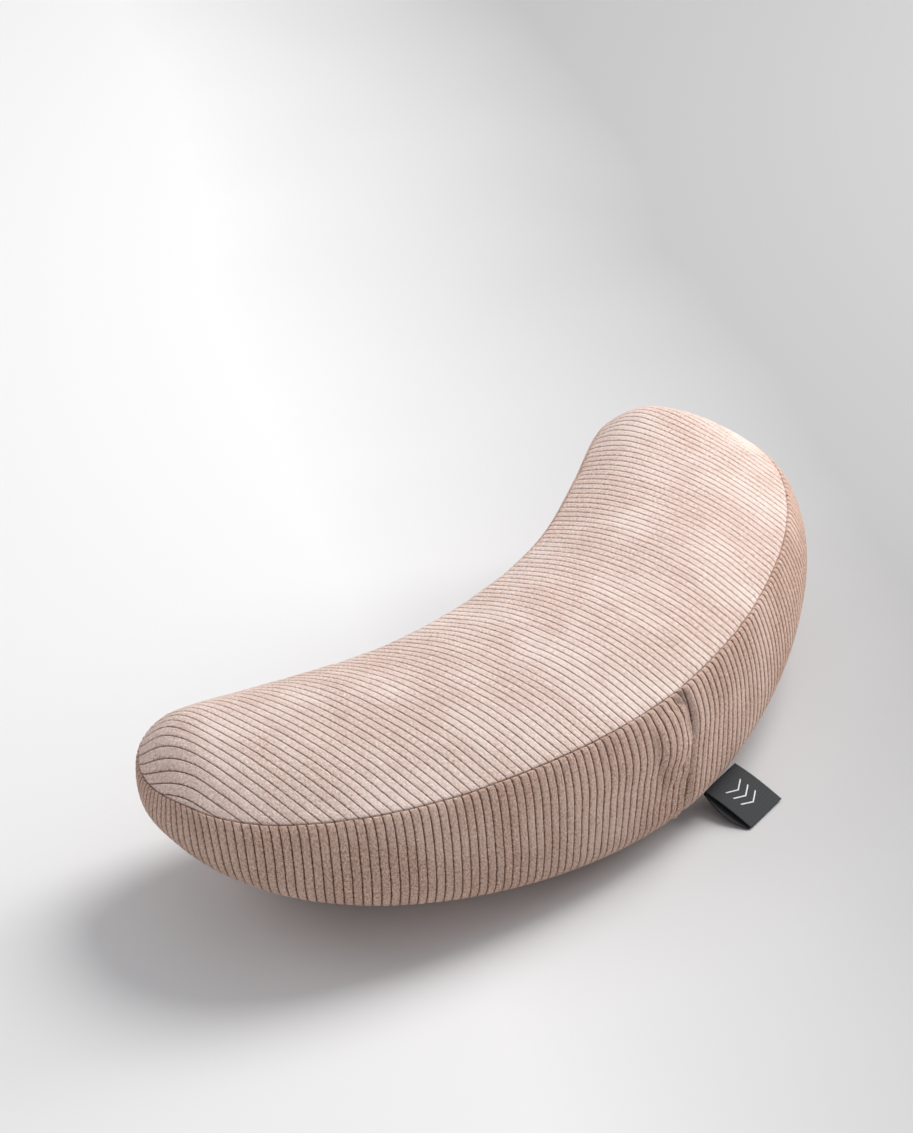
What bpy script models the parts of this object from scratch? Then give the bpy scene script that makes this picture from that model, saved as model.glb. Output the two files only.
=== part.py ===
"""Crescent lumbar support cushion, as an assembly of its sewn and fastened pieces.

A corduroy cover (top panel, bottom panel, side band with a lapped zip closing and its flap, label) goes over
a cotton inner case with a zip of its own, which holds loose husks. Metres, +Z up. +X is along the length,
the convex side faces -Y, and the origin is on the floor at the middle of the crescent.
"""

import math

import bmesh
import bpy
import numpy as np

MM = 0.001

# The crescent, measured along the top seam (plan) and above the floor (heights).
HALF_LENGTH = 0.225
DEPTH = 0.1366
TIP_BACK = 0.1627
TIP_ANGLE = math.radians(110.9)
HANDLES = (0.0983, 0.1049, 0.0816, 0.1348)
SPINE_END = 0.0328
SPINE_RISE = 0.0882
TOP_SEAM = 0.0902
TIP_DROP = 0.0018
TIP_DROP_POWER = 11.0
CROWN = 0.0142
TIP_CROWN = 0.0016
CROWN_POWER = 2.41
CROWN_EDGE = 1.206

# The bottom seam's crescent, and how far the bottom panel bulges below its seam before it meets the floor.
BASE_HALF = 0.1922
BASE_DEPTH = 0.1466
BASE_TIP_BACK = 0.1372
BASE_HANDLES = 1.014
BASE_SEAM = 0.0126
BASE_TIP_RISE = 0.0228
BASE_RISE_POWER = 1.88
BASE_CROWN = 0.022

# The side band's bulge between the two seams: upper and lower control points, at the middle and at the tips.
BAND_UPPER = (0.0079, 0.0150)
BAND_LOWER = (0.0163, 0.0081)
BAND_TIP_POWER = 2.93
BAND_UPPER_DROP = 0.33
BAND_LOWER_LIFT = 0.107

# Layers, as depths below the outer surface.
CORDUROY = 2.0 * MM
CASE_DEPTH = 2.6 * MM
COTTON = 0.8 * MM
FILL_DEPTH = 4.4 * MM
CORNER_EXTRA = 2.6 * MM
SEAM_GAP = 0.22 * MM
THREAD_DEPTH = 3.4 * MM
THREAD_RADIUS = 0.4 * MM

# The lapped closing at the middle of the convex side, by x.
LAP_EDGE = 0.0
FLAP_HINGE = -24.0 * MM
CLEARANCE = 0.3 * MM
UNDERLAP_END = -6.0 * MM
UNDERLAP_DEPTH = 2.7 * MM
UNDERLAP_RAMP = 8.0 * MM
UNDERLAP_SHORT = 4.3 * MM
FLAP_BUMP = 2.4 * MM
FLAP_BUMP_T = (0.08, 0.52)
FLAP_GAP = 1.2 * MM

# The cover's zip, in millimetres: depths below the outer surface, distances from the zip's middle and
# lengths along its arc. "ends" and "park" are heights above the floor.
ZIP_X = -14.0 * MM
ZIP = {
    "puller": (3.3, 4.3), "front": (4.9, 5.7), "comb": (6.3, 7.5), "tape": (6.6, 7.2), "back": (8.1, 8.9),
    "gap": 0.65, "tooth": 1.5, "comb_edge": 2.7, "tape_edge": (3.0, 11.5),
    "ends": (22.0, 79.0), "pitch": 4.6, "slider": (7.6, 9.0), "web": 0.35,
    "lug": (2.0, 2.0, 1.8), "tab": (5.4, 13.5), "park": 72.0,
}
# The inner case's zip, smaller, behind the cover's zip. It closes downwards.
CASE_ZIP = {
    "puller": (9.4, 10.2), "front": (10.8, 11.5), "comb": (12.0, 13.0), "tape": (12.3, 12.8),
    "back": (13.5, 14.2),
    "gap": 0.65, "tooth": 1.3, "comb_edge": 2.3, "tape_edge": (2.6, 9.5),
    "ends": (23.0, 75.0), "pitch": 5.2, "slider": (6.4, 7.0), "web": 0.35,
    "lug": (1.8, 1.6, 1.6), "tab": (4.4, 9.0), "park": 31.0,
}
PULLER_PLAY = (0.3, 0.45)
PULLER_RIM = 1.3
STOP_LENGTH = 1.8 * MM
COMB_MARGIN = 2.4 * MM
CASE_DENT = 9.4 * MM
FILL_DENT = 12.9 * MM
DENT_FLAT = 13.0 * MM
DENT_RAMP = 34.0 * MM
DENT_STATIONS = (27.0 * MM, 48.0 * MM)
CASE_OPENING = 12.4 * MM

# The woven label, a folded ribbon caught in the bottom seam.
LABEL_X = 38.0 * MM
LABEL_WIDTH = 31.0 * MM
LABEL_LENGTH = 32.0 * MM
LABEL_TURN = math.radians(-5.0)
LABEL_LAYER = 0.45 * MM
LABEL_SPREAD = 0.9 * MM
LABEL_TIP_HEIGHT = 0.3 * MM
LABEL_OUT = 1.4 * MM
LABEL_TUCK = 0.15 * MM
LABEL_BELOW = 2.0 * MM

QUARTER = 14
ZIP_FIT = (0.2, 0.5, 0.8)

COLOURS = {
    "corduroy": ((0.66, 0.47, 0.40), 0.9, 0.0),
    "thread": ((0.60, 0.43, 0.37), 0.7, 0.0),
    "label": ((0.025, 0.028, 0.030), 0.8, 0.0),
    "tape": ((0.55, 0.40, 0.34), 0.85, 0.0),
    "zip_plastic": ((0.58, 0.42, 0.36), 0.45, 0.0),
    "zip_metal": ((0.62, 0.60, 0.57), 0.35, 1.0),
    "cotton": ((0.80, 0.76, 0.68), 0.9, 0.0),
    "husk": ((0.36, 0.25, 0.14), 0.95, 0.0),
}


# ---- Plan outlines --------------------------------------------------------------------------------

def bezier(points, t):
    """A cubic Bezier curve at the values t."""
    s = 1 - t
    weights = (s**3, 3 * s * s * t, 3 * s * t * t, t**3)
    return sum(np.multiply.outer(w, np.asarray(p, float)) for w, p in zip(weights, points))


def crescent(half, depth, tip_back, scale, u):
    """Plan points of a crescent at u: 0 front middle, 1 right tip, 2 back middle, 3 left tip."""
    front = np.array((0.0, -depth / 2))
    tip = np.array((half, -depth / 2 + tip_back))
    back = np.array((0.0, depth / 2))
    across = np.array((math.cos(TIP_ANGLE), math.sin(TIP_ANGLE)))
    h1, h2, h3, h4 = (h * scale for h in HANDLES)
    outer = (front, front + (h1, 0), tip - across * h2, tip)
    inner = (tip, tip + across * h3, back + (h4, 0), back)
    u = np.mod(np.asarray(u, float), 4.0)
    left = u > 2
    v = np.where(left, 4 - u, u)
    xy = np.where((v <= 1)[:, None], bezier(outer, np.clip(v, 0, 1)), bezier(inner, np.clip(v - 1, 0, 1)))
    xy[:, 0] *= np.where(left, -1, 1)
    return xy


def spine(xy, half, rise, end):
    """The point nearest to each outline point on the arc that runs along the crescent's middle."""
    reach = half - end
    radius = (reach**2 + rise**2) / (2 * rise)
    limit = math.atan2(reach, radius - rise)
    angle = np.clip(np.arctan2(xy[:, 0], radius - xy[:, 1]), -limit, limit)
    return np.stack((radius * np.sin(angle), radius - radius * np.cos(angle)), -1)


def plan(u):
    """Top seam, its spine point, and bottom seam and its spine point, in plan."""
    top = crescent(HALF_LENGTH, DEPTH, TIP_BACK, 1.0, u)
    ratio = BASE_HALF / HALF_LENGTH
    base = crescent(BASE_HALF, BASE_DEPTH, BASE_TIP_BACK, ratio * BASE_HANDLES, u)
    top_spine = spine(top, HALF_LENGTH, SPINE_RISE, SPINE_END)
    base_spine = spine(base, BASE_HALF, SPINE_RISE * ratio**2, SPINE_END * ratio)
    return top, top_spine, base, base_spine


def crown(q):
    """Height of a panel's crown, 1 on its spine and 0 at its seam."""
    return np.clip(1 - q**CROWN_POWER, 0, 1) ** CROWN_EDGE


def surface(u, part, v):
    """Points of the outer surface. part is top (v from spine to seam), band (top to bottom) or base."""
    u = np.asarray(u, float)
    top, top_spine, base, base_spine = plan(u)
    away = np.abs(top[:, 0]) / HALF_LENGTH
    drop = TIP_DROP * away**TIP_DROP_POWER
    seam = TOP_SEAM - drop
    if part == "top":
        rise = CROWN + TIP_CROWN * (top_spine[:, 0] / HALF_LENGTH) ** 2 + drop
        return np.c_[top_spine + (top - top_spine) * v, seam + rise * crown(v)]
    if part == "band":
        low = BASE_SEAM + BASE_TIP_RISE * away**BASE_RISE_POWER
        out = (top - top_spine) / np.linalg.norm(top - top_spine, axis=1, keepdims=True)
        upper = (BAND_UPPER[0] + BAND_UPPER[1] * away**BAND_TIP_POWER)[:, None]
        lower = (BAND_LOWER[0] + BAND_LOWER[1] * away**BAND_TIP_POWER)[:, None]
        w = [float(x) for x in ((1 - v)**3, 3 * (1 - v)**2 * v, 3 * (1 - v) * v * v, v**3)]
        flat = top * w[0] + (top * 2 / 3 + base / 3 + out * upper) * w[1]
        flat = flat + (top / 3 + base * 2 / 3 + out * lower) * w[2] + base * w[3]
        height = seam - low
        z = seam * w[0] + (seam - height * BAND_UPPER_DROP) * w[1]
        z = z + (low + height * BAND_LOWER_LIFT) * w[2] + low * w[3]
        return np.c_[flat, z]
    flat = base_spine + (base - base_spine) * v
    low = BASE_SEAM + BASE_TIP_RISE * (np.abs(flat[:, 0]) / BASE_HALF) ** BASE_RISE_POWER
    return np.c_[flat, np.maximum(0.0, low - BASE_CROWN * crown(v))]


def unit(vectors):
    return vectors / np.linalg.norm(vectors, axis=-1, keepdims=True)


def normals(u, part, v):
    """Outward unit normals of one part of the outer surface, from small steps along it."""
    du, dv = 1e-3, 1e-3
    low, high = max(v - dv, 0.02 if part != "band" else 0.0), min(v + dv, 1.0)
    along = surface(u + du, part, v) - surface(u - du, part, v)
    down = surface(u, part, high) - surface(u, part, low)
    normal = unit(np.cross(down, along))
    if part == "base":
        normal = -normal
        normal[surface(u, part, v)[:, 2] <= 0] = (0, 0, -1)
    return normal


def seam_offset(u, which):
    """Vector that carries a seam point one unit deeper from both of the surfaces that meet there."""
    if which == "top":
        one, two = normals(u, "top", 0.995), normals(u, "band", 0.01)
    else:
        one, two = normals(u, "base", 0.99), normals(u, "band", 0.99)
    return (one + two) / (1 + np.sum(one * two, axis=1))[:, None]


def smooth(x):
    x = np.clip(x, 0, 1)
    return x * x * (3 - 2 * x)


def dent(u, points, amount):
    """Pulls points inward behind the zips, at the middle of the convex side."""
    front = (u < 1) | (u > 3)
    near = 1 - smooth((np.abs(points[:, 0] - ZIP_X) - DENT_FLAT) / (DENT_RAMP - DENT_FLAT))
    moved = points.copy()
    moved[:, 1] += amount * near * front
    return moved


def row(u, part, v, depth, corner=0.0, pull=0.0):
    """One row of points at a depth below the outer surface, pulled in behind the zips by pull."""
    u = np.asarray(u, float)
    if part in ("top_seam", "base_seam"):
        which = part.split("_")[0]
        source = ("band", 0.0) if which == "top" else ("band", 1.0)
        points = surface(u, *source) - seam_offset(u, which) * (depth + corner)
    else:
        points = surface(u, part, v) - normals(u, part, v) * depth
    fade = v**6 if part in ("top", "base") else 1.0
    return dent(u, points, pull * fade)


# ---- Meshes ---------------------------------------------------------------------------------------

def material(name):
    made = bpy.data.materials.get(name)
    if made is None:
        colour, roughness, metallic = COLOURS[name]
        made = bpy.data.materials.new(name)
        made.use_nodes = True
        shader = made.node_tree.nodes["Principled BSDF"]
        shader.inputs["Base Color"].default_value = (*colour, 1.0)
        shader.inputs["Roughness"].default_value = roughness
        shader.inputs["Metallic"].default_value = metallic
    return made


def finish(name, mesh_data, slot, pivot=(0.0, 0.0, 0.0), parent=None, flat=False):
    """Makes an object whose origin is at the pivot, with outward faces, from world-space bmesh data."""
    bmesh.ops.recalc_face_normals(mesh_data, faces=mesh_data.faces)
    if mesh_data.calc_volume(signed=True) < 0:
        bmesh.ops.reverse_faces(mesh_data, faces=mesh_data.faces)
    bmesh.ops.translate(mesh_data, verts=mesh_data.verts, vec=[-p for p in pivot])
    mesh = bpy.data.meshes.new(name)
    mesh_data.to_mesh(mesh)
    mesh_data.free()
    thing = bpy.data.objects.new(name, mesh)
    bpy.context.collection.objects.link(thing)
    thing.data.materials.append(material(slot))
    if not flat:
        mesh.shade_smooth()
        mesh.set_sharp_from_angle(angle=math.radians(40))
    thing.location = pivot
    if parent is not None:
        thing.parent = parent
        thing.location = [a - b for a, b in zip(pivot, parent.matrix_world.translation)]
    bpy.context.view_layer.update()
    return thing


def add_rows(data, rows):
    return [[data.verts.new(point) for point in line] for line in rows]


def join_rows(data, rows, closed):
    """Quads between neighbouring rows of vertices, round the whole loop when it is closed."""
    for one, two in zip(rows, rows[1:]):
        count = len(one)
        for i in range(count if closed else count - 1):
            j = (i + 1) % count
            data.faces.new((one[i], one[j], two[j], two[i]))


def ladder(data, ring):
    """Closes a crescent ring with faces that run straight across it, from its front to its back."""
    half = len(ring) // 2
    quarter = half // 2
    turned = ring[quarter:] + ring[:quarter]
    for i in range(half):
        a, b = turned[i], turned[i + 1]
        d, c = turned[-i] if i else turned[0], turned[-i - 1]
        corners = [a, b, c, d]
        unique = []
        for corner in corners:
            if corner not in unique:
                unique.append(corner)
        if len(unique) > 2:
            data.faces.new(unique)


def shell(name, rows_out, rows_in, slot, closed_loop=True, ladders=True):
    """A sheet of fabric: an outer and an inner grid joined round their free edges."""
    data = bmesh.new()
    outer, inner = add_rows(data, rows_out), add_rows(data, rows_in)
    join_rows(data, outer, closed_loop)
    join_rows(data, inner, closed_loop)
    join_rows(data, [outer[0], inner[0]], closed_loop)
    if ladders:
        ladder(data, outer[-1])
        ladder(data, inner[-1])
    else:
        join_rows(data, [outer[-1], inner[-1]], closed_loop)
    if not closed_loop:
        for side in (0, -1):
            join_rows(data, [[line[side] for line in outer], [line[side] for line in inner]], False)
    return finish(name, data, slot)


def stations():
    return np.arange(4 * QUARTER) / QUARTER


def front_u(x, t=0.5):
    """The outline position of a point on the convex side, from its x at the height t of the band."""
    dense = np.linspace(-1, 1, 801)
    xs = surface(dense, "band", t)[:, 0]
    return float(np.interp(x, xs, dense))


def open_stations(start, stop, inside):
    """Stations of an open band that runs from x = start round the whole cushion to x = stop."""
    first, last = front_u(start), front_u(stop) + 4
    kept = sorted(v if v > first else v + 4 for v in inside)
    spaced = [first]
    for value in kept:
        if value - spaced[-1] > 0.004 and last - value > 0.004:
            spaced.append(value)
    return np.array(spaced + [last])


TOP_RINGS = (0.92, 0.74, 0.48, 0.15)
BASE_RINGS = (0.86, 0.66, 0.4, 0.14)
BAND_ROWS = (0.12, 0.35, 0.6, 0.8, 0.9)


def shift_in(points, towards, distance):
    return points + unit(towards - points) * distance


def panel_rows(u, part, rings, depth, corner, pull):
    """Rows of a panel from just inside its seam to its innermost ring."""
    seam = row(u, part + "_seam", 1.0, depth, corner, pull)
    rest = [row(u, part, q, depth, 0.0, pull) for q in rings]
    return [shift_in(seam, rest[0], SEAM_GAP)] + rest


def band_rows(u, depth, corner=0.0, pull=0.0, rows=BAND_ROWS, gap=SEAM_GAP):
    """Rows of the side band from just below the top seam to just above the bottom seam."""
    top = row(u, "top_seam", 0.0, depth, corner, pull)
    base = row(u, "base_seam", 1.0, depth, corner, pull)
    middle = [row(u, "band", t, depth, 0.0, pull) for t in rows]
    return [shift_in(top, middle[0], gap)] + middle + [shift_in(base, middle[-1], gap)]


# ---- The cover ------------------------------------------------------------------------------------

def make_cover():
    u = stations()
    for name, part, rings in (("cover_top", "top", TOP_RINGS), ("cover_bottom", "base", BASE_RINGS)):
        outer = panel_rows(u, part, rings, 0.0, 0.0, 0.0)
        inner = panel_rows(u, part, rings, CORDUROY, 0.0, 0.0)
        shell(name, outer, inner, "corduroy")
    make_band()
    make_flap()
    for name, which in (("top_seam_thread", "top"), ("bottom_seam_thread", "base")):
        make_thread(name, which)


def underlap(rows):
    """Sinks the band's right end under the flap and stops it short of both seams."""
    sunk = []
    for line in rows:
        x = line[:, 0]
        near = (1 - smooth((x - LAP_EDGE - CLEARANCE) / UNDERLAP_RAMP)) * (x > UNDERLAP_END - MM)
        near[len(x) // 2:] = 0
        moved = line.copy()
        moved[:, 1] += UNDERLAP_DEPTH * near
        sunk.append(moved)
    short = (near > 0.02)[:, None] * np.maximum(near, 0.4)[:, None] * UNDERLAP_SHORT
    for end, beside in ((0, 1), (-1, -2)):
        sunk[end] = sunk[end] + unit(sunk[beside] - sunk[end]) * short
    return sunk


def make_band():
    extra = [front_u(LAP_EDGE + CLEARANCE + step * UNDERLAP_RAMP) for step in (0, 1 / 3, 2 / 3, 1)]
    u = open_stations(UNDERLAP_END, FLAP_HINGE - CLEARANCE, list(stations()) + extra)
    outer, inner = (underlap(band_rows(u, depth)) for depth in (0.0, CORDUROY))
    shell("side_band", outer, inner, "corduroy", closed_loop=False, ladders=False)


def flap_bump(u, t):
    """How far the flap stands out over the parked slider."""
    x = surface(u, "band", 0.5)[:, 0]
    across = np.sin(math.pi * np.clip((x - FLAP_HINGE) / (LAP_EDGE - FLAP_HINGE), 0, 1)) ** 0.5
    low, high = FLAP_BUMP_T
    down = math.sin(math.pi * min(max((t - low) / (high - low), 0), 1)) ** 0.6 if low < t < high else 0.0
    return FLAP_BUMP * across * down


FLAP_ROWS = tuple(np.linspace(0.06, 0.94, 12))


def flap_pivot():
    """The upright tangent line that the flap opens about, touching the band where it is fullest."""
    u = np.array([front_u(FLAP_HINGE)])
    points = [surface(u, "band", t)[0] for t in np.linspace(0, 1, 101)]
    fullest = min(points, key=lambda p: p[1])
    return (FLAP_HINGE, float(fullest[1]), float(fullest[2]))


def make_flap():
    places = np.linspace(FLAP_HINGE + CLEARANCE, LAP_EDGE, 7)
    u = np.array([front_u(x) % 4 for x in places])
    u = np.where(u > 2, u - 4, u)
    data = bmesh.new()
    sheets = []
    for depth in (0.0, CORDUROY):
        rows = band_rows(u, depth, rows=FLAP_ROWS, gap=FLAP_GAP)
        for line, t in zip(rows[1:-1], FLAP_ROWS):
            line[:, 1] -= flap_bump(u, t)
        sheets.append(add_rows(data, rows))
    for sheet in sheets:
        join_rows(data, sheet, False)
    outer, inner = sheets
    for end in (0, -1):
        join_rows(data, [outer[end], inner[end]], False)
        join_rows(data, [[line[end] for line in outer], [line[end] for line in inner]], False)
    finish("side_flap", data, "corduroy", pivot=flap_pivot())


def make_thread(name, which):
    """A line of sewing thread inside the corner of the cover, along the whole seam."""
    u = stations()
    source = ("band", 0.0 if which == "top" else 1.0)
    inward = seam_offset(u, which)
    centre = surface(u, *source) - inward * THREAD_DEPTH
    along = unit(np.roll(centre, -1, axis=0) - np.roll(centre, 1, axis=0))
    side = unit(inward)
    other = np.cross(along, side)
    data = bmesh.new()
    rows = []
    for i in range(4):
        angle = math.pi / 2 * i
        rows.append(centre + (side * math.cos(angle) + other * math.sin(angle)) * THREAD_RADIUS)
    rings = add_rows(data, rows)
    join_rows(data, rings + rings[:1], True)
    finish(name, data, "thread")


# ---- The inner case and the filling ---------------------------------------------------------------

def case_stations():
    """Stations of the case and the filling, with more where they are pulled in behind the zips.

    They are the same on the concave side and mirrored in X, so that a ring closes straight across.
    """
    extra = [front_u(x) for x in DENT_STATIONS]
    both = [v for e in extra for v in (e, 4 - e, 2 - e, 2 + e)]
    kept = []
    for value in sorted(list(stations()) + both):
        if not kept or value - kept[-1] > 1e-4:
            kept.append(value)
    return np.array(kept)


def make_case():
    u = case_stations()
    for name, part, rings in (("case_top", "top", TOP_RINGS), ("case_bottom", "base", BASE_RINGS)):
        outer = panel_rows(u, part, rings, CASE_DEPTH, CORNER_EXTRA, CASE_DENT)
        inner = panel_rows(u, part, rings, CASE_DEPTH + COTTON, CORNER_EXTRA, CASE_DENT)
        shell(name, outer, inner, "cotton")
    u = open_stations(ZIP_X + CASE_OPENING, ZIP_X - CASE_OPENING, case_stations())
    outer = band_rows(u, CASE_DEPTH, CORNER_EXTRA, CASE_DENT)
    inner = band_rows(u, CASE_DEPTH + COTTON, CORNER_EXTRA, CASE_DENT)
    shell("case_band", outer, inner, "cotton", closed_loop=False, ladders=False)


def make_filling():
    u = case_stations()
    rows = [row(u, "top", q, FILL_DEPTH, 0.0, FILL_DENT) for q in reversed(TOP_RINGS)]
    rows.append(row(u, "top_seam", 0.0, FILL_DEPTH, CORNER_EXTRA, FILL_DENT))
    rows += [row(u, "band", t, FILL_DEPTH, 0.0, FILL_DENT) for t in BAND_ROWS]
    rows.append(row(u, "base_seam", 1.0, FILL_DEPTH, CORNER_EXTRA, FILL_DENT))
    rows += [row(u, "base", q, FILL_DEPTH, 0.0, FILL_DENT) for q in BASE_RINGS]
    data = bmesh.new()
    rings = add_rows(data, rows)
    join_rows(data, rings, True)
    ladder(data, rings[0])
    ladder(data, rings[-1])
    finish("husk_filling", data, "husk")


# ---- Zips: everything runs on arcs about one line along X, so that the sliders can travel ---------

def zip_circle():
    """Centre (y, z) and radius of the circle through the band's profile at the zip's middle."""
    u = np.array([front_u(ZIP_X)])
    (y1, z1), (y2, z2), (y3, z3) = [surface(u, "band", t)[0][1:] for t in ZIP_FIT]
    a = np.array(((y2 - y1, z2 - z1), (y3 - y2, z3 - z2))) * 2
    b = np.array((y2**2 - y1**2 + z2**2 - z1**2, y3**2 - y2**2 + z3**2 - z2**2))
    centre = np.linalg.solve(a, b)
    return float(centre[0]), float(centre[1]), float(math.hypot(y1 - centre[0], z1 - centre[1]))


CIRCLE = zip_circle()


def arc_point(x, angle, depth):
    y0, z0, radius = CIRCLE
    r = radius - depth
    return (x, y0 - r * math.cos(angle), z0 + r * math.sin(angle))


def height_angle(height):
    return math.asin((height * MM - CIRCLE[1]) / CIRCLE[2])


def sweep(data, sections):
    """Joins section polygons into one closed tube with flat ends."""
    rings = add_rows(data, sections)
    for one, two in zip(rings, rings[1:]):
        for i in range(len(one)):
            j = (i + 1) % len(one)
            data.faces.new((one[i], one[j], two[j], two[i]))
    data.faces.new(rings[0])
    data.faces.new(list(reversed(rings[-1])))


def strip(data, sides, depths, angles):
    """A strip between two x values and two depths; sides holds one (x0, x1) pair for each angle."""
    sections = []
    for angle, (x0, x1) in zip(angles, sides):
        near, far = depths[0] * MM, depths[1] * MM
        corners = ((x0, near), (x1, near), (x1, far), (x0, far))
        sections.append([arc_point(ZIP_X + x * MM, angle, depth) for x, depth in corners])
    sweep(data, sections)


def make_tape(name, spec, side):
    low, high = (height_angle(h) for h in spec["ends"])
    near, far = (side * x for x in spec["tape_edge"])
    angles = np.linspace(low, high, 11)
    data = bmesh.new()
    strip(data, [(near, far)] * len(angles), spec["tape"], angles)
    finish(name, data, "tape", flat=True)


def make_teeth(name, spec, side):
    """A comb of moulded teeth on one edge of a tape. The two combs' teeth alternate."""
    low, high = (height_angle(h) for h in spec["ends"])
    margin = COMB_MARGIN / CIRCLE[2]
    low, high = low + margin, high - margin
    pitch = spec["pitch"] * MM / CIRCLE[2]
    count = int((high - low) / pitch)
    pitch = (high - low) / count
    angles, sides = [low], [(side * spec["tooth"], side * spec["comb_edge"])]
    shift = 0.08 if side < 0 else 0.5
    for i in range(count):
        start = low + (i + shift) * pitch
        for part, reach in ((0.0, "tooth"), (0.1, "gap"), (0.34, "gap"), (0.44, "tooth")):
            angle = start + part * pitch
            if angle < high - 0.02 * pitch:
                angles.append(angle)
                sides.append((side * spec[reach], side * spec["comb_edge"]))
    angles.append(high)
    sides.append((side * spec["tooth"], side * spec["comb_edge"]))
    data = bmesh.new()
    strip(data, sides, spec["comb"], angles)
    finish(name, data, "zip_plastic", flat=True)


def make_stop(name, spec, end):
    """A small clamp across the chain at one of its ends."""
    angle = height_angle(spec["ends"][end])
    inward = -1 if end else 1
    length = STOP_LENGTH / CIRCLE[2]
    angles = sorted((angle, angle + inward * length))
    data = bmesh.new()
    strip(data, [(-spec["comb_edge"], spec["comb_edge"])] * 2, spec["comb"], angles)
    finish(name, data, "zip_metal", flat=True)


def slider_empty(name):
    holder = bpy.data.objects.new(name, None)
    bpy.context.collection.objects.link(holder)
    holder.location = (ZIP_X, CIRCLE[0], CIRCLE[1])
    bpy.context.view_layer.update()
    return holder


def make_slider(name, spec, parent):
    """Front and back plates joined by a web that runs between the combs, with a lug for the puller."""
    width, length = (s / 2 for s in spec["slider"])
    lug_width, lug_length = spec["lug"][:2]
    web = spec["web"]
    middle = height_angle(spec["park"])
    front, back = spec["front"], spec["back"]
    outline = [
        (-width, front[0]), (-lug_width / 2, front[0]), (lug_width / 2, front[0]), (width, front[0]),
        (width, front[1]), (web, front[1]), (web, back[0]), (width, back[0]),
        (width, back[1]), (-width, back[1]), (-width, back[0]), (-web, back[0]),
        (-web, front[1]), (-width, front[1]),
    ]
    steps = (-length, -lug_length / 2, lug_length / 2, length)
    data = bmesh.new()
    sections = []
    for step in steps:
        angle = middle + step * MM / CIRCLE[2]
        sections.append([arc_point(ZIP_X + x * MM, angle, depth * MM) for x, depth in outline])
    sweep(data, sections)
    raise_lug(data, spec, middle)
    finish(name, data, "zip_metal", pivot=tuple(parent.location), parent=parent, flat=True)


def raise_lug(data, spec, middle):
    """Extrudes the slider's lug from the middle of its front plate."""
    target = np.array(arc_point(ZIP_X, middle, spec["front"][0] * MM))
    face = min(data.faces, key=lambda f: np.linalg.norm(np.array(f.calc_center_median()) - target))
    grown = bmesh.ops.extrude_discrete_faces(data, faces=[face])["faces"][0]
    height = spec["lug"][2] * MM
    out = (0.0, -math.cos(middle) * height, math.sin(middle) * height)
    bmesh.ops.translate(data, verts=list(grown.verts), vec=out)


def make_puller(name, spec, parent):
    """A flat tab whose window goes over the slider's lug; it hangs from the lug."""
    middle = height_angle(spec["park"])
    width, length = spec["tab"]
    lug_width, lug_length = spec["lug"][:2]
    hole_x, hole_t = lug_width / 2 + PULLER_PLAY[0], lug_length / 2 + PULLER_PLAY[1]
    xs = (-width / 2, -hole_x, hole_x, width / 2)
    ts = (-hole_t - PULLER_RIM, -hole_t, hole_t, length)
    depths = spec["puller"]
    pivot = arc_point(ZIP_X, middle, (depths[0] + depths[1]) / 2 * MM)
    down = np.array((0.0, -math.sin(middle), -math.cos(middle)))
    out = np.array((0.0, -math.cos(middle), math.sin(middle)))
    thick = (depths[1] - depths[0]) / 2 * MM
    data = bmesh.new()
    grid = {}
    for i, x in enumerate(xs):
        for j, t in enumerate(ts):
            point = np.array(pivot) + (x * MM, 0, 0) + down * t * MM - out * thick
            grid[i, j] = data.verts.new(point)
    cells = [(i, j) for i in range(3) for j in range(3) if (i, j) != (1, 1)]
    faces = []
    for i, j in cells:
        faces.append(data.faces.new([grid[i, j], grid[i + 1, j], grid[i + 1, j + 1], grid[i, j + 1]]))
    grown = bmesh.ops.extrude_face_region(data, geom=faces)["geom"]
    moved = [item for item in grown if isinstance(item, bmesh.types.BMVert)]
    bmesh.ops.translate(data, verts=moved, vec=out * 2 * thick)
    finish(name, data, "zip_metal", pivot=pivot, parent=parent, flat=True)


def make_zip(prefix, spec):
    for side, word in ((-1, "left"), (1, "right")):
        make_tape(prefix + "_tape_" + word, spec, side)
        make_teeth(prefix + "_teeth_" + word, spec, side)
    make_stop(prefix + "_top_stop", spec, 1)
    make_stop(prefix + "_bottom_stop", spec, 0)
    holder = slider_empty(prefix + "_travel")
    make_slider(prefix + "_slider", spec, holder)
    make_puller(prefix + "_puller", spec, holder)


# ---- The label ------------------------------------------------------------------------------------

def label_frame():
    """Root point on the bottom seam, the direction along the seam and the level direction away from it."""
    u = np.array([front_u(LABEL_X, 1.0)])
    root = surface(u, "band", 1.0)[0]
    along = unit(surface(u + 1e-3, "band", 1.0) - surface(u - 1e-3, "band", 1.0))[0]
    heading = math.atan2(along[1], along[0]) + LABEL_TURN
    along = np.array((math.cos(heading), math.sin(heading), 0.0))
    away = np.array((along[1], -along[0], 0.0))
    return root, along, away


def label_root():
    root, along, away = label_frame()
    return root + away * LABEL_OUT - np.array((0.0, 0.0, LABEL_BELOW))


def label_path():
    """The ribbon's middle line as (distance from the root, height): out along its top layer, then back."""
    start = label_root()
    steps = np.linspace(0, 1, 7)
    gap = LABEL_SPREAD / 2 * np.sin(math.pi * (0.04 + 0.92 * steps)) ** 0.7 + LABEL_TUCK + LABEL_LAYER / 2
    fall = start[2] - LABEL_TIP_HEIGHT - gap[-1] - LABEL_LAYER / 2
    level = math.sqrt(LABEL_LENGTH**2 - fall**2) * steps
    drop = fall * steps**1.3
    upper = np.c_[level, gap - drop]
    lower = np.c_[level, -gap - drop][::-1]
    fold = np.array(((level[-1] + gap[-1], -drop[-1]),))
    return np.concatenate((upper, fold, lower))


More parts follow.
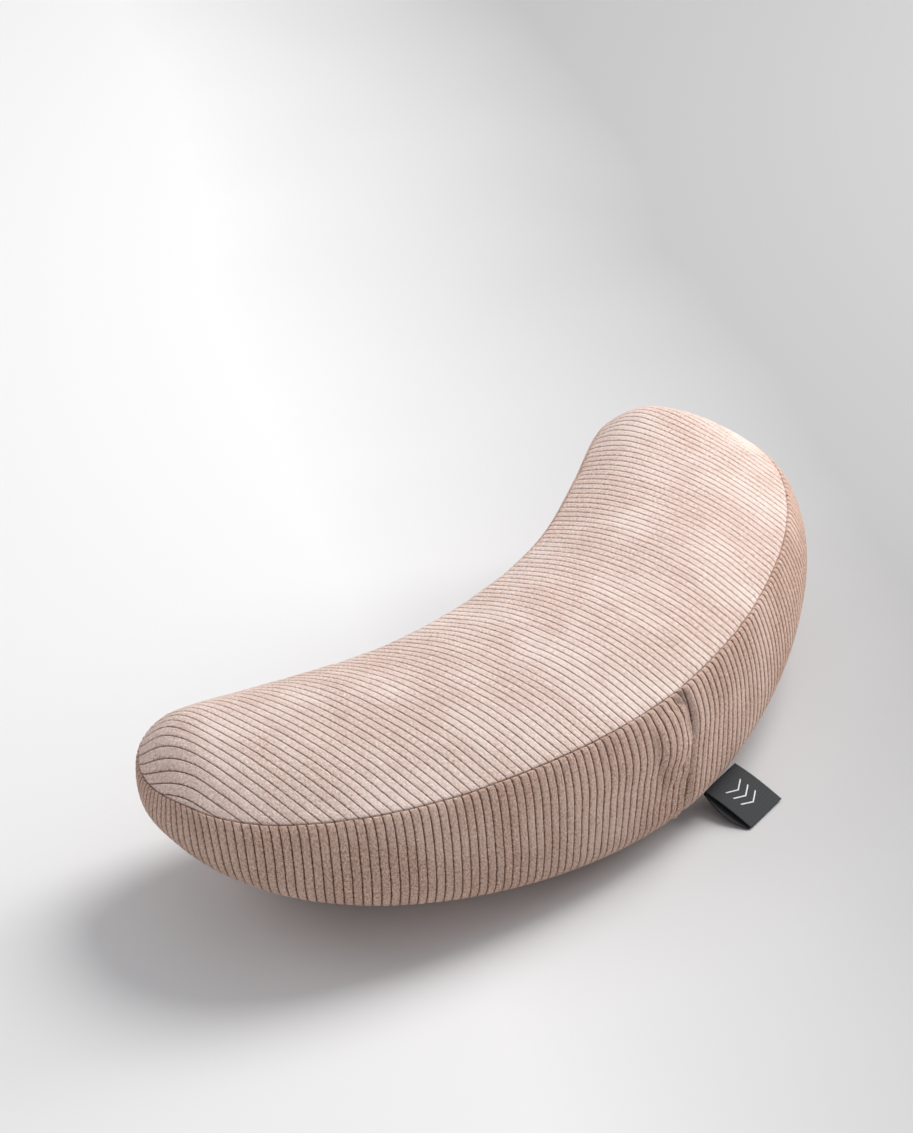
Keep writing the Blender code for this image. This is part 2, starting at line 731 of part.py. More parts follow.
def make_label():
    """A ribbon folded once: its two layers are open at the root and joined by the fold at the free end."""
    along, away = label_frame()[1:]
    path = label_path()
    forward = unit(np.gradient(path, axis=0))
    side = np.c_[-forward[:, 1], forward[:, 0]] * LABEL_LAYER / 2
    data = bmesh.new()
    lines = []
    for across, offset in ((-0.5, 1), (-0.5, -1), (0.5, -1), (0.5, 1)):
        base = label_root() + along * across * LABEL_WIDTH
        points = path + side * offset
        lines.append([base + away * a + np.array((0, 0, h)) for a, h in points])
    sweep(data, [list(section) for section in zip(*lines)])
    finish("woven_label", data, "label", pivot=tuple(label_root()))


def clear_scene():
    for thing in list(bpy.data.objects):
        bpy.data.objects.remove(thing, do_unlink=True)


def main():
    clear_scene()
    make_cover()
    make_zip("zip", ZIP)
    make_label()
    make_case()
    make_zip("case_zip", CASE_ZIP)
    make_filling()


main()
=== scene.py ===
"""Looks of the crescent lumbar cushion: corduroy panels with real ribs, sewn seams, a lapped zip closing,
a folded woven label, and the inner case and husks that they hold. Metres, in the CAD model's frame.
"""

import math

import bpy
import numpy as np
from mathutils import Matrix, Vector, noise
from mathutils.bvhtree import BVHTree
from mathutils.kdtree import KDTree


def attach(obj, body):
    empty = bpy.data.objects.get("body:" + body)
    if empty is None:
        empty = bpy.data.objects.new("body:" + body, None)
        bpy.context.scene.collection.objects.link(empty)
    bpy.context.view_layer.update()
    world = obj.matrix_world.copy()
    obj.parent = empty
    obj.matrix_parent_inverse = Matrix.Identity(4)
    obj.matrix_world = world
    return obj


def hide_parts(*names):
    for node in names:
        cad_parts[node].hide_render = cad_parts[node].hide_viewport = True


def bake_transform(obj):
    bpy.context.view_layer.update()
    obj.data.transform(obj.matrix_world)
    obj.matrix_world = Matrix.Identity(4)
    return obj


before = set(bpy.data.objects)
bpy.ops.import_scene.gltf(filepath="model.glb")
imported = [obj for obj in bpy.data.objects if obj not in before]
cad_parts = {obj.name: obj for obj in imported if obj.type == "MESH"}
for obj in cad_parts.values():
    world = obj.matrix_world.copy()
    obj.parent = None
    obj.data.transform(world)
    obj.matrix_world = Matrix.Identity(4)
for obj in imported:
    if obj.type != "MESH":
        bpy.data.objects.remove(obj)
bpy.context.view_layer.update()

MM = 0.001

# The cushion's shape, as in the CAD model.
HALF_LENGTH = 0.225
DEPTH = 0.1366
TIP_BACK = 0.1627
TIP_ANGLE = math.radians(110.9)
HANDLES = (0.0983, 0.1049, 0.0816, 0.1348)
SPINE_END = 0.0328
SPINE_RISE = 0.0882
TOP_SEAM = 0.0902
TIP_DROP = 0.0018
TIP_DROP_POWER = 11.0
CROWN = 0.0142
TIP_CROWN = 0.0016
CROWN_POWER = 2.41
CROWN_EDGE = 1.206
BASE_HALF = 0.1922
BASE_DEPTH = 0.1466
BASE_TIP_BACK = 0.1372
BASE_HANDLES = 1.014
BASE_SEAM = 0.0126
BASE_TIP_RISE = 0.0228
BASE_RISE_POWER = 1.88
BASE_CROWN = 0.022
BAND_UPPER = (0.0079, 0.0150)
BAND_LOWER = (0.0163, 0.0081)
BAND_TIP_POWER = 2.93
BAND_UPPER_DROP = 0.33
BAND_LOWER_LIFT = 0.107

# The corduroy: its ribs' pitch, its thickness, its grooves' half width as a share of the pitch, its ribs'
# height, how far the panels' ribs are turned, where they fade into a seam, and the pile of its inner face.
PITCH = 4.6 * MM
CLOTH = 1.9 * MM
TOP_GROOVE = 0.135
BAND_GROOVE = 0.19
RIB_STEPS = (0.0, 0.035, 0.08, 0.15, 0.28, 0.5, 0.72, 0.85, 0.92, 0.965)
TOP_RIB = 1.0 * MM
BAND_RIB = 1.25 * MM
TOP_TURN = math.radians(2.0)
RIB_FADE = 1.6 * MM
INNER_PILE = 0.6

# What the filled cloth does: lumps as (axis, height, size, seed), and the left tip's seam that droops.
LUMPS = ((2, 1.1 * MM, 0.055, 1), (1, 0.8 * MM, 0.05, 2), (2, 0.35 * MM, 0.018, 3))
TIP_DROOP = 7.0 * MM
TIP_BULGE = 1.6 * MM

# The seams: a wide shallow valley with a narrow crease at its bottom, as (depth, width) in metres.
SEAM_VALLEY = (0.9 * MM, 4.0 * MM)
SEAM_CREASE = (1.5 * MM, 0.8 * MM)

# The lap over the zip, by x and by t, the place between the top seam (0) and the bottom seam (1).
SPLIT_RIBS = 13
HINGE_X = -24.0 * MM
UNDERLAP_END = -6.0 * MM
UNDERLAP_DEPTH = 2.7 * MM
UNDERLAP_RAMP = 8.0 * MM
LAP_RIM = 1.0 * MM
LAP_FURROW = (1.7 * MM, 1.6 * MM)
FLAP_BUMP = 2.4 * MM
FLAP_BUMP_T = (0.08, 0.52)

# How the band's ribs lean away from the middle as they go down, are drawn left at the lap, sway a little,
# and hook at the two seams.
LEAN = 36.0 * MM
LAP_RISE = 2.5 * MM
LAP_DRAW = 8.5 * MM
LAP_REACH = 70.0 * MM
RIB_SWAY = 0.32 * MM
HOOK_TOP = -1.3 * MM
HOOK_BASE = 0.8 * MM

# The seams' thread, and its stitches round the whole seam.
THREAD_RADIUS = 0.3 * MM
STITCHES = 360
STITCH_RISE = 0.22 * MM

# Depths of the inner layers below the outer surface, as in the CAD model.
THREAD_DEPTH = 3.4 * MM
CASE_DEPTH = 2.6 * MM
COTTON = 0.8 * MM
CORNER_EXTRA = 2.6 * MM
CASE_DENT = 9.4 * MM
DENT_FLAT = 13.0 * MM
DENT_RAMP = 34.0 * MM
CASE_OPENING = 12.4 * MM
ZIP_X = -14.0 * MM

# The label, as in the CAD model, with the upper layer's arch and the lower layer's gap, bow and slip.
LABEL_X = 38.0 * MM
LABEL_WIDTH = 31.0 * MM
LABEL_LENGTH = 32.0 * MM
LABEL_TURN = math.radians(-5.0)
LABEL_OUT = 1.4 * MM
LABEL_BELOW = 2.0 * MM
LABEL_TIP = 1.3 * MM
LABEL_THICK = 0.36 * MM
LABEL_GAP = 0.45 * MM
LABEL_BOW = 2.4 * MM
LABEL_SLIP = 1.5
LABEL_ARCH = 0.5 * MM
LABEL_LOWEST = 0.45 * MM

# The label's chevrons: their middles along the layer, their arms' reach, their strokes' edges and height.
CHEVRONS = (0.34, 0.5, 0.66)
CHEVRON_HALF_WIDTH = 0.24
CHEVRON_POINT = 0.11
STROKE_EDGES = (-0.016, -0.008, 0.008, 0.016)
STROKE_RISE = 0.16 * MM
STROKE_SINK = -0.03 * MM
STROKE_THICK = 0.12 * MM


# ---- The cushion's outer surface --------------------------------------------------------------------

def bezier(points, t):
    """Points of a cubic curve at each t, from its four control points."""
    s = 1 - t
    weights = (s**3, 3 * s * s * t, 3 * s * t * t, t**3)
    return sum(np.multiply.outer(w, np.asarray(p, float)) for w, p in zip(weights, points))


def crescent(half, depth, tip_back, scale, u):
    """Plan points of a crescent at u: 0 front middle, 1 right tip, 2 back middle, 3 left tip."""
    front = np.array((0.0, -depth / 2))
    tip = np.array((half, -depth / 2 + tip_back))
    back = np.array((0.0, depth / 2))
    across = np.array((math.cos(TIP_ANGLE), math.sin(TIP_ANGLE)))
    h1, h2, h3, h4 = (h * scale for h in HANDLES)
    outer = (front, front + (h1, 0), tip - across * h2, tip)
    inner = (tip, tip + across * h3, back + (h4, 0), back)
    u = np.mod(np.asarray(u, float), 4.0)
    left = u > 2
    v = np.where(left, 4 - u, u)
    xy = np.where((v <= 1)[:, None], bezier(outer, np.clip(v, 0, 1)), bezier(inner, np.clip(v - 1, 0, 1)))
    xy[:, 0] *= np.where(left, -1, 1)
    return xy


def spine(xy, half, rise, end):
    """The point nearest to each outline point on the arc that runs along the crescent's middle."""
    reach = half - end
    radius = (reach**2 + rise**2) / (2 * rise)
    limit = math.atan2(reach, radius - rise)
    angle = np.clip(np.arctan2(xy[:, 0], radius - xy[:, 1]), -limit, limit)
    return np.stack((radius * np.sin(angle), radius - radius * np.cos(angle)), -1)


def plan(u):
    """Plan points at u of the top seam and the bottom seam, each with its nearest point of the spine."""
    top = crescent(HALF_LENGTH, DEPTH, TIP_BACK, 1.0, u)
    ratio = BASE_HALF / HALF_LENGTH
    base = crescent(BASE_HALF, BASE_DEPTH, BASE_TIP_BACK, ratio * BASE_HANDLES, u)
    top_spine = spine(top, HALF_LENGTH, SPINE_RISE, SPINE_END)
    base_spine = spine(base, BASE_HALF, SPINE_RISE * ratio**2, SPINE_END * ratio)
    return top, top_spine, base, base_spine


def crown(q):
    """How high a panel's crown stands, 1 at the spine and 0 at the seam."""
    return np.clip(1 - q**CROWN_POWER, 0, 1) ** CROWN_EDGE


def surface(u, part, v):
    """Points of the outer surface. part is top (v from spine to seam), band (top to bottom) or base."""
    u = np.asarray(u, float)
    top, top_spine, base, base_spine = plan(u)
    away = np.abs(top[:, 0]) / HALF_LENGTH
    drop = TIP_DROP * away**TIP_DROP_POWER
    seam = TOP_SEAM - drop
    if part == "top":
        rise = CROWN + TIP_CROWN * (top_spine[:, 0] / HALF_LENGTH) ** 2 + drop
        return np.c_[top_spine + (top - top_spine) * v, seam + rise * crown(v)]
    if part == "band":
        low = BASE_SEAM + BASE_TIP_RISE * away**BASE_RISE_POWER
        out = (top - top_spine) / np.linalg.norm(top - top_spine, axis=1, keepdims=True)
        upper = (BAND_UPPER[0] + BAND_UPPER[1] * away**BAND_TIP_POWER)[:, None]
        lower = (BAND_LOWER[0] + BAND_LOWER[1] * away**BAND_TIP_POWER)[:, None]
        w = [float(x) for x in ((1 - v)**3, 3 * (1 - v)**2 * v, 3 * (1 - v) * v * v, v**3)]
        flat = top * w[0] + (top * 2 / 3 + base / 3 + out * upper) * w[1]
        flat = flat + (top / 3 + base * 2 / 3 + out * lower) * w[2] + base * w[3]
        height = seam - low
        z = seam * w[0] + (seam - height * BAND_UPPER_DROP) * w[1]
        z = z + (low + height * BAND_LOWER_LIFT) * w[2] + low * w[3]
        return np.c_[flat, z]
    flat = base_spine + (base - base_spine) * v
    low = BASE_SEAM + BASE_TIP_RISE * (np.abs(flat[:, 0]) / BASE_HALF) ** BASE_RISE_POWER
    return np.c_[flat, np.maximum(0.0, low - BASE_CROWN * crown(v))]


def unit(vectors):
    return vectors / np.maximum(np.linalg.norm(vectors, axis=-1, keepdims=True), 1e-12)


def normals(u, part, v):
    """Outward unit normals of one part of the outer surface, from small steps along it."""
    step = 1e-3
    low, high = max(v - step, 0.0 if part == "band" else 0.02), min(v + step, 1.0)
    along = surface(u + step, part, v) - surface(u - step, part, v)
    down = surface(u, part, high) - surface(u, part, low)
    normal = unit(np.cross(down, along))
    if part == "base":
        normal = -normal
        normal[surface(u, part, v)[:, 2] <= 0] = (0, 0, -1)
    return normal


def seam_offset(u, which):
    """Vector that carries a seam point one unit deeper from both of the surfaces that meet there."""
    if which == "top":
        one, two = normals(u, "top", 0.995), normals(u, "band", 0.01)
    else:
        one, two = normals(u, "base", 0.99), normals(u, "band", 0.99)
    return (one + two) / (1 + np.sum(one * two, axis=1))[:, None]


def smooth(x):
    x = np.clip(x, 0, 1)
    return x * x * (3 - 2 * x)


def bell(x, middle, width):
    return np.exp(-((x - middle) / width) ** 2)


# ---- Softness: what the filled cloth does between its seams ------------------------------------------

def soft_noise(points, size, seed):
    """Smooth noise from -1 to 1 at each point, with lumps of about the given size."""
    shift = Vector((seed * 7.3, seed * 3.1, seed * 5.7))
    values = [noise.noise(Vector(p) / size + shift) for p in points.reshape(-1, 3)]
    return np.array(values).reshape(points.shape[:-1])


def settle(points):
    """Moves fabric points as the filling shifts: the left tip's seam droops, and the panels are lumpy."""
    moved = points.copy()
    x, y, z = points[..., 0], points[..., 1], points[..., 2]
    tip = smooth((-x - 0.185) / 0.03) * smooth((y - 0.06) / 0.045)
    seam = smooth((z - 0.045) / 0.03) * smooth((0.104 - z) / 0.014)
    moved[..., 2] -= TIP_DROOP * tip * seam
    moved[..., 0] -= TIP_BULGE * (tip * bell(z, 0.094, 0.007))
    upper = smooth((z - 0.02) / 0.05)
    near_zip = bell(x, -0.012, 0.035) * (y < 0)
    calm = (1 - near_zip) * upper
    for axis, height, size, seed in LUMPS:
        moved[..., axis] += height * soft_noise(points, size, seed) * calm
    return moved


# ---- Meshes ------------------------------------------------------------------------------------------

def quads(rows, cols, offset, flip=False):
    """The quads of a grid whose vertices start at offset."""
    i, j = np.meshgrid(np.arange(rows - 1), np.arange(cols - 1), indexing="ij")
    a = offset + i * cols + j
    faces = np.stack((a, a + 1, a + cols + 1, a + cols), -1).reshape(-1, 4)
    return faces[:, ::-1] if flip else faces


def rim(rows, cols, offset):
    """Quads that join the borders of two grids of the same size, the second starting at offset."""
    top = np.arange(cols)
    right = np.arange(rows) * cols + cols - 1
    bottom = (rows - 1) * cols + np.arange(cols)[::-1]
    left = np.arange(rows)[::-1] * cols
    loop = np.concatenate((top[:-1], right[:-1], bottom[:-1], left[:-1]))
    following = np.roll(loop, -1)
    return np.stack((following, loop, loop + offset, following + offset), -1)


def new_mesh(name, points, faces):
    """A smooth-shaded mesh from arrays of points and quads."""
    mesh = bpy.data.meshes.new(name)
    mesh.vertices.add(len(points))
    mesh.vertices.foreach_set("co", np.asarray(points, np.float32).ravel())
    mesh.loops.add(faces.size)
    mesh.loops.foreach_set("vertex_index", faces.astype(np.int32).ravel())
    mesh.polygons.add(len(faces))
    mesh.polygons.foreach_set("loop_start", np.arange(0, faces.size, faces.shape[1], dtype=np.int32))
    mesh.update(calc_edges=True)
    mesh.validate()
    mesh.shade_smooth()
    return mesh


def new_piece(name, data):
    """A new object in the scene: a mesh, a lamp or the camera."""
    piece = bpy.data.objects.new(name, data)
    bpy.context.collection.objects.link(piece)
    return piece


def cloth(name, outer, inner, rib, across, along, outward):
    """A closed sheet of cloth from two grids. rib is the height in its pile, which also sets the corduroy's
    painted groove shade; across and along are metres.
    """
    rows, cols = outer.shape[:2]
    count = rows * cols
    step = outer[rows // 2, cols // 2 + 1] - outer[rows // 2, cols // 2]
    down = outer[rows // 2 + 1, cols // 2] - outer[rows // 2, cols // 2]
    flip = float(np.dot(np.cross(step, down), outward)) < 0
    sides = rim(rows, cols, count)
    faces = np.concatenate((quads(rows, cols, 0, flip), quads(rows, cols, count, not flip),
                            sides[:, ::-1] if flip else sides))
    points = np.concatenate((outer.reshape(-1, 3), inner.reshape(-1, 3)))
    mesh = new_mesh(name, points, faces)
    values = mesh.attributes.new("rib", "FLOAT", "POINT")
    pile = np.concatenate((rib.ravel(), np.full(count, INNER_PILE)))
    values.data.foreach_set("value", pile.astype(np.float32))
    layer = mesh.uv_layers.new(name="weave")
    flat = np.stack((np.tile(across.ravel(), 2), np.tile(along.ravel(), 2)), -1)
    layer.data.foreach_set("uv", flat[faces.ravel()].astype(np.float32).ravel())
    return new_piece(name, mesh)


def rib_height(phase, groove):
    """How high the pile stands, 0 at the bottom of a groove and 1 on a rib, from the place in the pitch."""
    off = np.abs(phase - np.round(phase))
    edge = np.clip(off / groove, 0, 1)
    return np.sqrt(1 - (1 - edge) ** 2) * (0.86 + 0.14 * (1 - (1 - 2 * off) ** 2))


def rib_places(start, stop):
    """Places from start to stop in pitches, closer together at the grooves."""
    whole = np.arange(math.floor(start), math.ceil(stop))
    places = (whole[:, None] + np.array(RIB_STEPS)).ravel()
    inside = places[(places > start + 0.02) & (places < stop - 0.02)]
    return np.concatenate(([start], inside, [stop]))


def seam_dip(distance):
    """How far the cloth dips towards the stitches at a distance from a seam."""
    dip = SEAM_VALLEY[0] * np.clip(1 - distance / SEAM_VALLEY[1], 0, 1) ** 2
    return dip + SEAM_CREASE[0] * np.clip(1 - distance / SEAM_CREASE[1], 0, 1) ** 2


def rib_fade(distance):
    """The ribs flatten out where the cloth goes into a seam."""
    return smooth(distance / RIB_FADE)


# ---- Top and bottom panels ---------------------------------------------------------------------------

def chains(outline):
    """The front and back chains of a closed outline between its lowest and highest x, both by rising x."""
    low, high = outline[:, 0].argmin(), outline[:, 0].argmax()
    count = len(outline)
    one = outline[(low + np.arange((high - low) % count + 1)) % count]
    two = outline[(high + np.arange((low - high) % count + 1)) % count][::-1]
    return (one, two) if one[:, 1].mean() < two[:, 1].mean() else (two, one)


def panel_columns(low, high):
    """Places of a panel's columns across the ribs, closer together at the panel's two ends."""
    ends = 0.02 * MM * np.arange(1, 15) ** 2
    places = rib_places((low + ends[0]) / PITCH, (high - ends[0]) / PITCH) * PITCH
    places = np.sort(np.concatenate((places, low + ends, high - ends)))
    kept = [places[0]]
    for place in places[1:]:
        if place - kept[-1] > 0.05 * MM:
            kept.append(place)
    return np.array(kept)


def panel_tree(part):
    """A search tree of the panel's smooth surface."""
    us = np.linspace(0, 4, 481)[:-1]
    rings = np.linspace(0.0, 1.0, 61)
    points = np.array([surface(us, part, q) for q in rings])
    closed = np.concatenate((points, points[:, :1]), axis=1)
    faces = quads(*closed.shape[:2], 0)
    return BVHTree.FromPolygons(closed.reshape(-1, 3).tolist(), faces.tolist())


def heights(tree, xy, up, fallback):
    """The panel's height at each flat place, or the fallback where the ray meets nothing."""
    found = np.empty(len(xy))
    for i, (x, y) in enumerate(xy):
        hit = tree.ray_cast(Vector((x, y, 0.3 * up)), Vector((0, 0, -up)))[0]
        found[i] = hit.z if hit is not None else fallback[i]
    return found


def grid_normals(grid):
    return unit(np.cross(np.gradient(grid, axis=1), np.gradient(grid, axis=0)))


def facing_normals(grid, up):
    """A grid's unit normals, turned to face up or down."""
    normal = grid_normals(grid)
    sign = np.sign(normal[..., 2:3]) * up
    return normal * np.where(sign == 0, 1, sign)


def plain_columns(low, high):
    """Evenly spaced places of a plain panel's columns, closer together at the panel's two ends."""
    ends = 0.05 * MM * np.arange(1, 10) ** 2
    return np.concatenate((low + ends, np.linspace(low + 6 * MM, high - 6 * MM, 150), high - ends[::-1]))


def panel_grid(part, up, turn, rows, spacing):
    """A grid over a panel, front to back: flat places, points, normals, seam offsets, seam distances."""
    us = np.linspace(0, 4, 6001)[:-1]
    seam = surface(us, part, 1.0)
    turned = np.array(((math.cos(turn), math.sin(turn)), (-math.sin(turn), math.cos(turn))))
    front, back = chains(seam[:, :2] @ turned.T)
    columns = spacing(front[0, 0], front[-1, 0])
    ends = [np.interp(columns, chain[:, 0], chain[:, 1]) for chain in (front, back)]
    t = (1 - np.cos(np.linspace(0, math.pi, rows)))[:, None] / 2
    y = ends[0] * (1 - t) + ends[1] * t
    x = np.broadcast_to(columns, y.shape)
    sway = RIB_SWAY * soft_noise(np.stack((x * 0.35, y, 0 * x), -1), 0.022, 5)
    flat = np.stack((x + sway * np.sin(math.pi * t), y), -1) @ turned
    search = KDTree(len(seam))
    for i, point in enumerate(seam):
        search.insert((point[0], point[1], 0), i)
    search.balance()
    near = [search.find((a, b, 0)) for a, b in flat.reshape(-1, 2)]
    index = np.array([n[1] for n in near])
    distance = np.array([n[2] for n in near]).reshape(y.shape)
    z = heights(panel_tree(part), flat.reshape(-1, 2), up, seam[index, 2]).reshape(y.shape)
    z[0], z[-1] = (seam[index.reshape(y.shape)[k], 2] for k in (0, -1))
    base = np.concatenate((flat, z[..., None]), -1)
    inward = seam_offset(us, "top" if up > 0 else "base")[index].reshape(base.shape)
    return x, y, base, facing_normals(base, up), inward, distance


def above_floor(outer, inner):
    """Keeps a bottom panel's two faces above the floor and apart."""
    outer[..., 2] = np.maximum(outer[..., 2], 0.05 * MM)
    inner[..., 2] = np.maximum(inner[..., 2], outer[..., 2] + 0.8 * MM)


def uneven(points):
    """How much deeper or shallower a seam is drawn in at each point."""
    return (1 + 0.4 * soft_noise(points, 0.007, 9))[..., None]


def make_panel(name, part, up, turn, rows, rib_depth):
    """A corduroy panel whose ribs run from its front to its back."""
    x, y, base, normal, inward, distance = panel_grid(part, up, turn, rows, panel_columns)
    rib = rib_height(x / PITCH, TOP_GROOVE)
    sunk = base - inward * seam_dip(distance)[..., None] * uneven(base)
    outer = settle(sunk - normal * (rib_depth * (1 - rib) * rib_fade(distance))[..., None])
    inner = settle(sunk - normal * (CLOTH + 0.2 * MM))
    if up < 0:
        above_floor(outer, inner)
    return cloth(name, outer, inner, rib, x, y, (0, 0, up))


# ---- The side band -----------------------------------------------------------------------------------

def band_ruler():
    """u against the distance along the band, from the middle of the convex side."""
    us = np.linspace(-1.2, 4.2, 5401)
    line = surface(us, "band", 0.35)
    run = np.concatenate(([0.0], np.cumsum(np.linalg.norm(np.diff(line, axis=0), axis=1))))
    return us, run - np.interp(0.0, us, run)


RULER = band_ruler()


def u_at(distance):
    """u at each distance along the band."""
    return np.interp(distance, RULER[1], RULER[0])


def distance_at(u):
    """Distance along the band at each u."""
    return np.interp(u, RULER[0], RULER[1])


PERIMETER = float(distance_at(4.0))

# The lap's edge: t, and how far it strays from its straight line in millimetres.
LAP_LINE = ((0.0, -0.6), (0.1, 0.2), (0.2, 0.9), (0.3, 1.6), (0.37, 1.5), (0.41, 0.3), (0.5, 0.7),
            (0.62, 0.6), (0.74, 0.9), (0.86, -0.4), (0.93, 0.9), (1.0, 1.2))
# Puckers in the flap: place along the band and t of the middle, width, height in t, slant per t, and depth.
PUCKERS = (
    (-3.5, 0.07, 1.6, 0.030, 60.0, 0.9),
    (-7.5, 0.10, 1.4, 0.035, 90.0, 0.6),
    (-2.5, 0.15, 2.2, 0.030, -20.0, -0.7),
    (-3.0, 0.41, 1.3, 0.060, -75.0, 1.1),
    (-9.0, 0.52, 1.8, 0.080, -50.0, 0.5),
    (-2.0, 0.33, 2.6, 0.050, 0.0, -0.6),
    (-2.2, 0.86, 1.2, 0.035, 55.0, 1.0),
    (-5.5, 0.90, 1.8, 0.050, 40.0, 0.6),
)


def lap_shift(t):
    """How far the lap's edge strays from its straight line, in metres, at each t."""
    places, shifts = zip(*LAP_LINE)
    return np.interp(t, places, shifts) * MM


def flap_bump(x, t):
    """How far the flap stands out over the parked slider."""
    across = np.sin(math.pi * np.clip((x - HINGE_X) / -HINGE_X, 0, 1)) ** 0.5
    low, high = FLAP_BUMP_T
    down = np.sin(math.pi * np.clip((t - low) / (high - low), 0, 1)) ** 0.6
    return FLAP_BUMP * across * down


def lean(distance, t):
    """How far along the band its ribs have strayed from their places at the top seam, at each t."""
    lap = bell(np.mod(distance + PERIMETER / 2, PERIMETER) - PERIMETER / 2, 0.0, LAP_REACH)
    drawn = LAP_RISE * math.sin(math.pi * min(t / 0.4, 1.0)) - LAP_DRAW * float(smooth((t - 0.22) / 0.45))
    return LEAN * t * np.sin(2 * math.pi * distance / PERIMETER) + drawn * lap


def band_base(distance, t, strength):
    """Smooth band points and normals at one t; the ribs hook at the seams and lean by strength."""
    hook = HOOK_TOP * math.exp(-t / 0.05) + HOOK_BASE * math.exp((t - 1) / 0.06)
    around = np.mod(distance + PERIMETER / 2, PERIMETER)
    places = np.stack((around * 0.35, np.full_like(around, t * 0.08), 0 * around), -1)
    sway = RIB_SWAY * soft_noise(places, 0.014, 7)
    u = u_at(distance + hook + lean(distance, t) * strength + sway * math.sin(math.pi * t))
    return surface(u, "band", t), normals(u, "band", t)


def seam_distances(points):
    """Distances down a band's grid from its top seam and up from its bottom seam."""
    steps = np.linalg.norm(np.diff(points, axis=0), axis=2)
    run = np.concatenate((np.zeros((1, points.shape[1])), np.cumsum(steps, axis=0)))
    return run, run[-1] - run


def pucker(distance, t):
    """How deep the flap is creased at each place."""
    depth = np.zeros_like(t)
    for place, at, wide, tall, slant, deep in PUCKERS:
        off = distance / MM - place - slant * (t - at)
        depth += deep * MM * bell(off, 0.0, wide) * bell(t, at, tall)
    return depth


def front_distance(x):
    """Distance along the band to the place on its convex side with this x."""
    front = np.abs(RULER[0]) < 1
    return float(np.interp(x, surface(RULER[0][front], "band", 0.35)[:, 0], RULER[1][front]))


def band_sheet(name, start, stop, pitch, rows, lap):
    """One stretch of the band, from start to stop along it. lap is "over" for the flap, or "under"."""
    places = rib_places(start / pitch, stop / pitch) * pitch
    if lap == "over":
        edge = stop - np.array((1.1, 0.8, 0.5, 0.25, 0.08, 0)) * MM
        places = np.concatenate((places[places < stop - 1.2 * MM], edge))
    ts = (1 - np.cos(np.linspace(0, math.pi, rows))) / 2
    distance = np.broadcast_to(places, (rows, len(places))).copy()
    t = np.broadcast_to(ts[:, None], distance.shape)
    strength = np.ones(len(places))
    if lap == "over":
        pull = smooth((distance - start) / (stop - start)) ** 2
        distance = distance + lap_shift(t) * pull
    else:
        strength = 0.4 + 0.6 * smooth((places - start) / (6 * MM))
    base, outward = zip(*[band_base(distance[i], float(ts[i]), strength) for i in range(rows)])
    base, outward = np.array(base), np.array(outward)
    from_top, from_base = seam_distances(base)
    us = u_at(places)
    dips = seam_offset(us, "top") * seam_dip(from_top)[..., None]
    dips = (dips + seam_offset(us, "base") * seam_dip(from_base)[..., None]) * uneven(base)
    rib = rib_height(places / pitch, BAND_GROOVE) * np.ones_like(t)
    fade = rib_fade(np.minimum(from_top, from_base))
    if lap == "over":
        off = (stop - places) * np.ones_like(t)
        lift = flap_bump(base[..., 0], t) - pucker(distance, t) + LAP_RIM * bell(off, 0.0, 2.2 * MM)
        round_off = CLOTH / 2 * (1 - np.sqrt(1 - np.clip(1 - off / (1.1 * MM), 0, 1) ** 2))
        # The flap's last edge sinks to a groove, which also paints a dark line of shadow along the lap's
        # edge.
        rib = rib * smooth(off / (0.6 * MM))
    else:
        near = 1 - smooth((distance - lap_shift(t) - 0.3 * MM) / UNDERLAP_RAMP)
        settled = smooth(np.minimum(from_top, from_base) / (6 * MM))
        lift = -(UNDERLAP_DEPTH + LAP_RIM / 2) * near * (0.25 + 0.75 * settled)
        furrow = bell(distance - lap_shift(t), 0.0, LAP_FURROW[1]) * settled
        lift = lift - LAP_FURROW[0] * furrow
        # The furrow also takes the ribs down, which paints a strip of shadow along the lap line.
        rib = rib * (1 - furrow)
        round_off = np.zeros_like(t)
    sunk = base - dips
    outer = sunk + outward * (lift - BAND_RIB * (1 - rib) * fade - round_off)[..., None]
    inner = sunk + outward * (lift - CLOTH + round_off)[..., None]
    middle = outward[rows // 2, len(places) // 2]
    return cloth(name, settle(outer), settle(inner), rib, distance, from_top, middle)


# ---- The seam threads, the inner case and its filling --------------------------------------------------

def make_thread(name, which):
    """Sewing thread along a seam inside the cover: a thin line that rises and falls with each stitch."""
    count, sides = 2400, 8
    u = np.linspace(0, 4, count + 1)[:-1]
    inward = seam_offset(u, which)
    stitch = 2 * math.pi * np.arange(count) * STITCHES / count
    centre = surface(u, "band", 0.0 if which == "top" else 1.0) - inward * THREAD_DEPTH
    side = unit(inward)
    centre = settle(centre + side * (STITCH_RISE * np.sin(stitch))[:, None])
    forward = unit(np.roll(centre, -1, axis=0) - np.roll(centre, 1, axis=0))
    other = np.cross(forward, side)
    angles = np.linspace(0, 2 * math.pi, sides + 1)[:-1]
    rings = [centre + (side * math.cos(a) + other * math.sin(a)) * THREAD_RADIUS for a in angles]
    grid = np.array(rings).transpose(1, 0, 2)
    i, j = np.meshgrid(np.arange(count), np.arange(sides), indexing="ij")
    after, beside = (i + 1) % count, (j + 1) % sides
    ends = ((i, j), (i, beside), (after, beside), (after, j))
    faces = np.stack([ring * sides + corner for ring, corner in ends], -1).reshape(-1, 4)
    return new_piece(name, new_mesh(name, grid.reshape(-1, 3), faces))


def zip_dent(points):
    """How far the inner case is pulled in behind the zips, from 0 to 1."""
    reach = np.abs(points[..., 0] - ZIP_X) - DENT_FLAT
    return (1 - smooth(reach / (DENT_RAMP - DENT_FLAT))) * (points[..., 1] < 0)


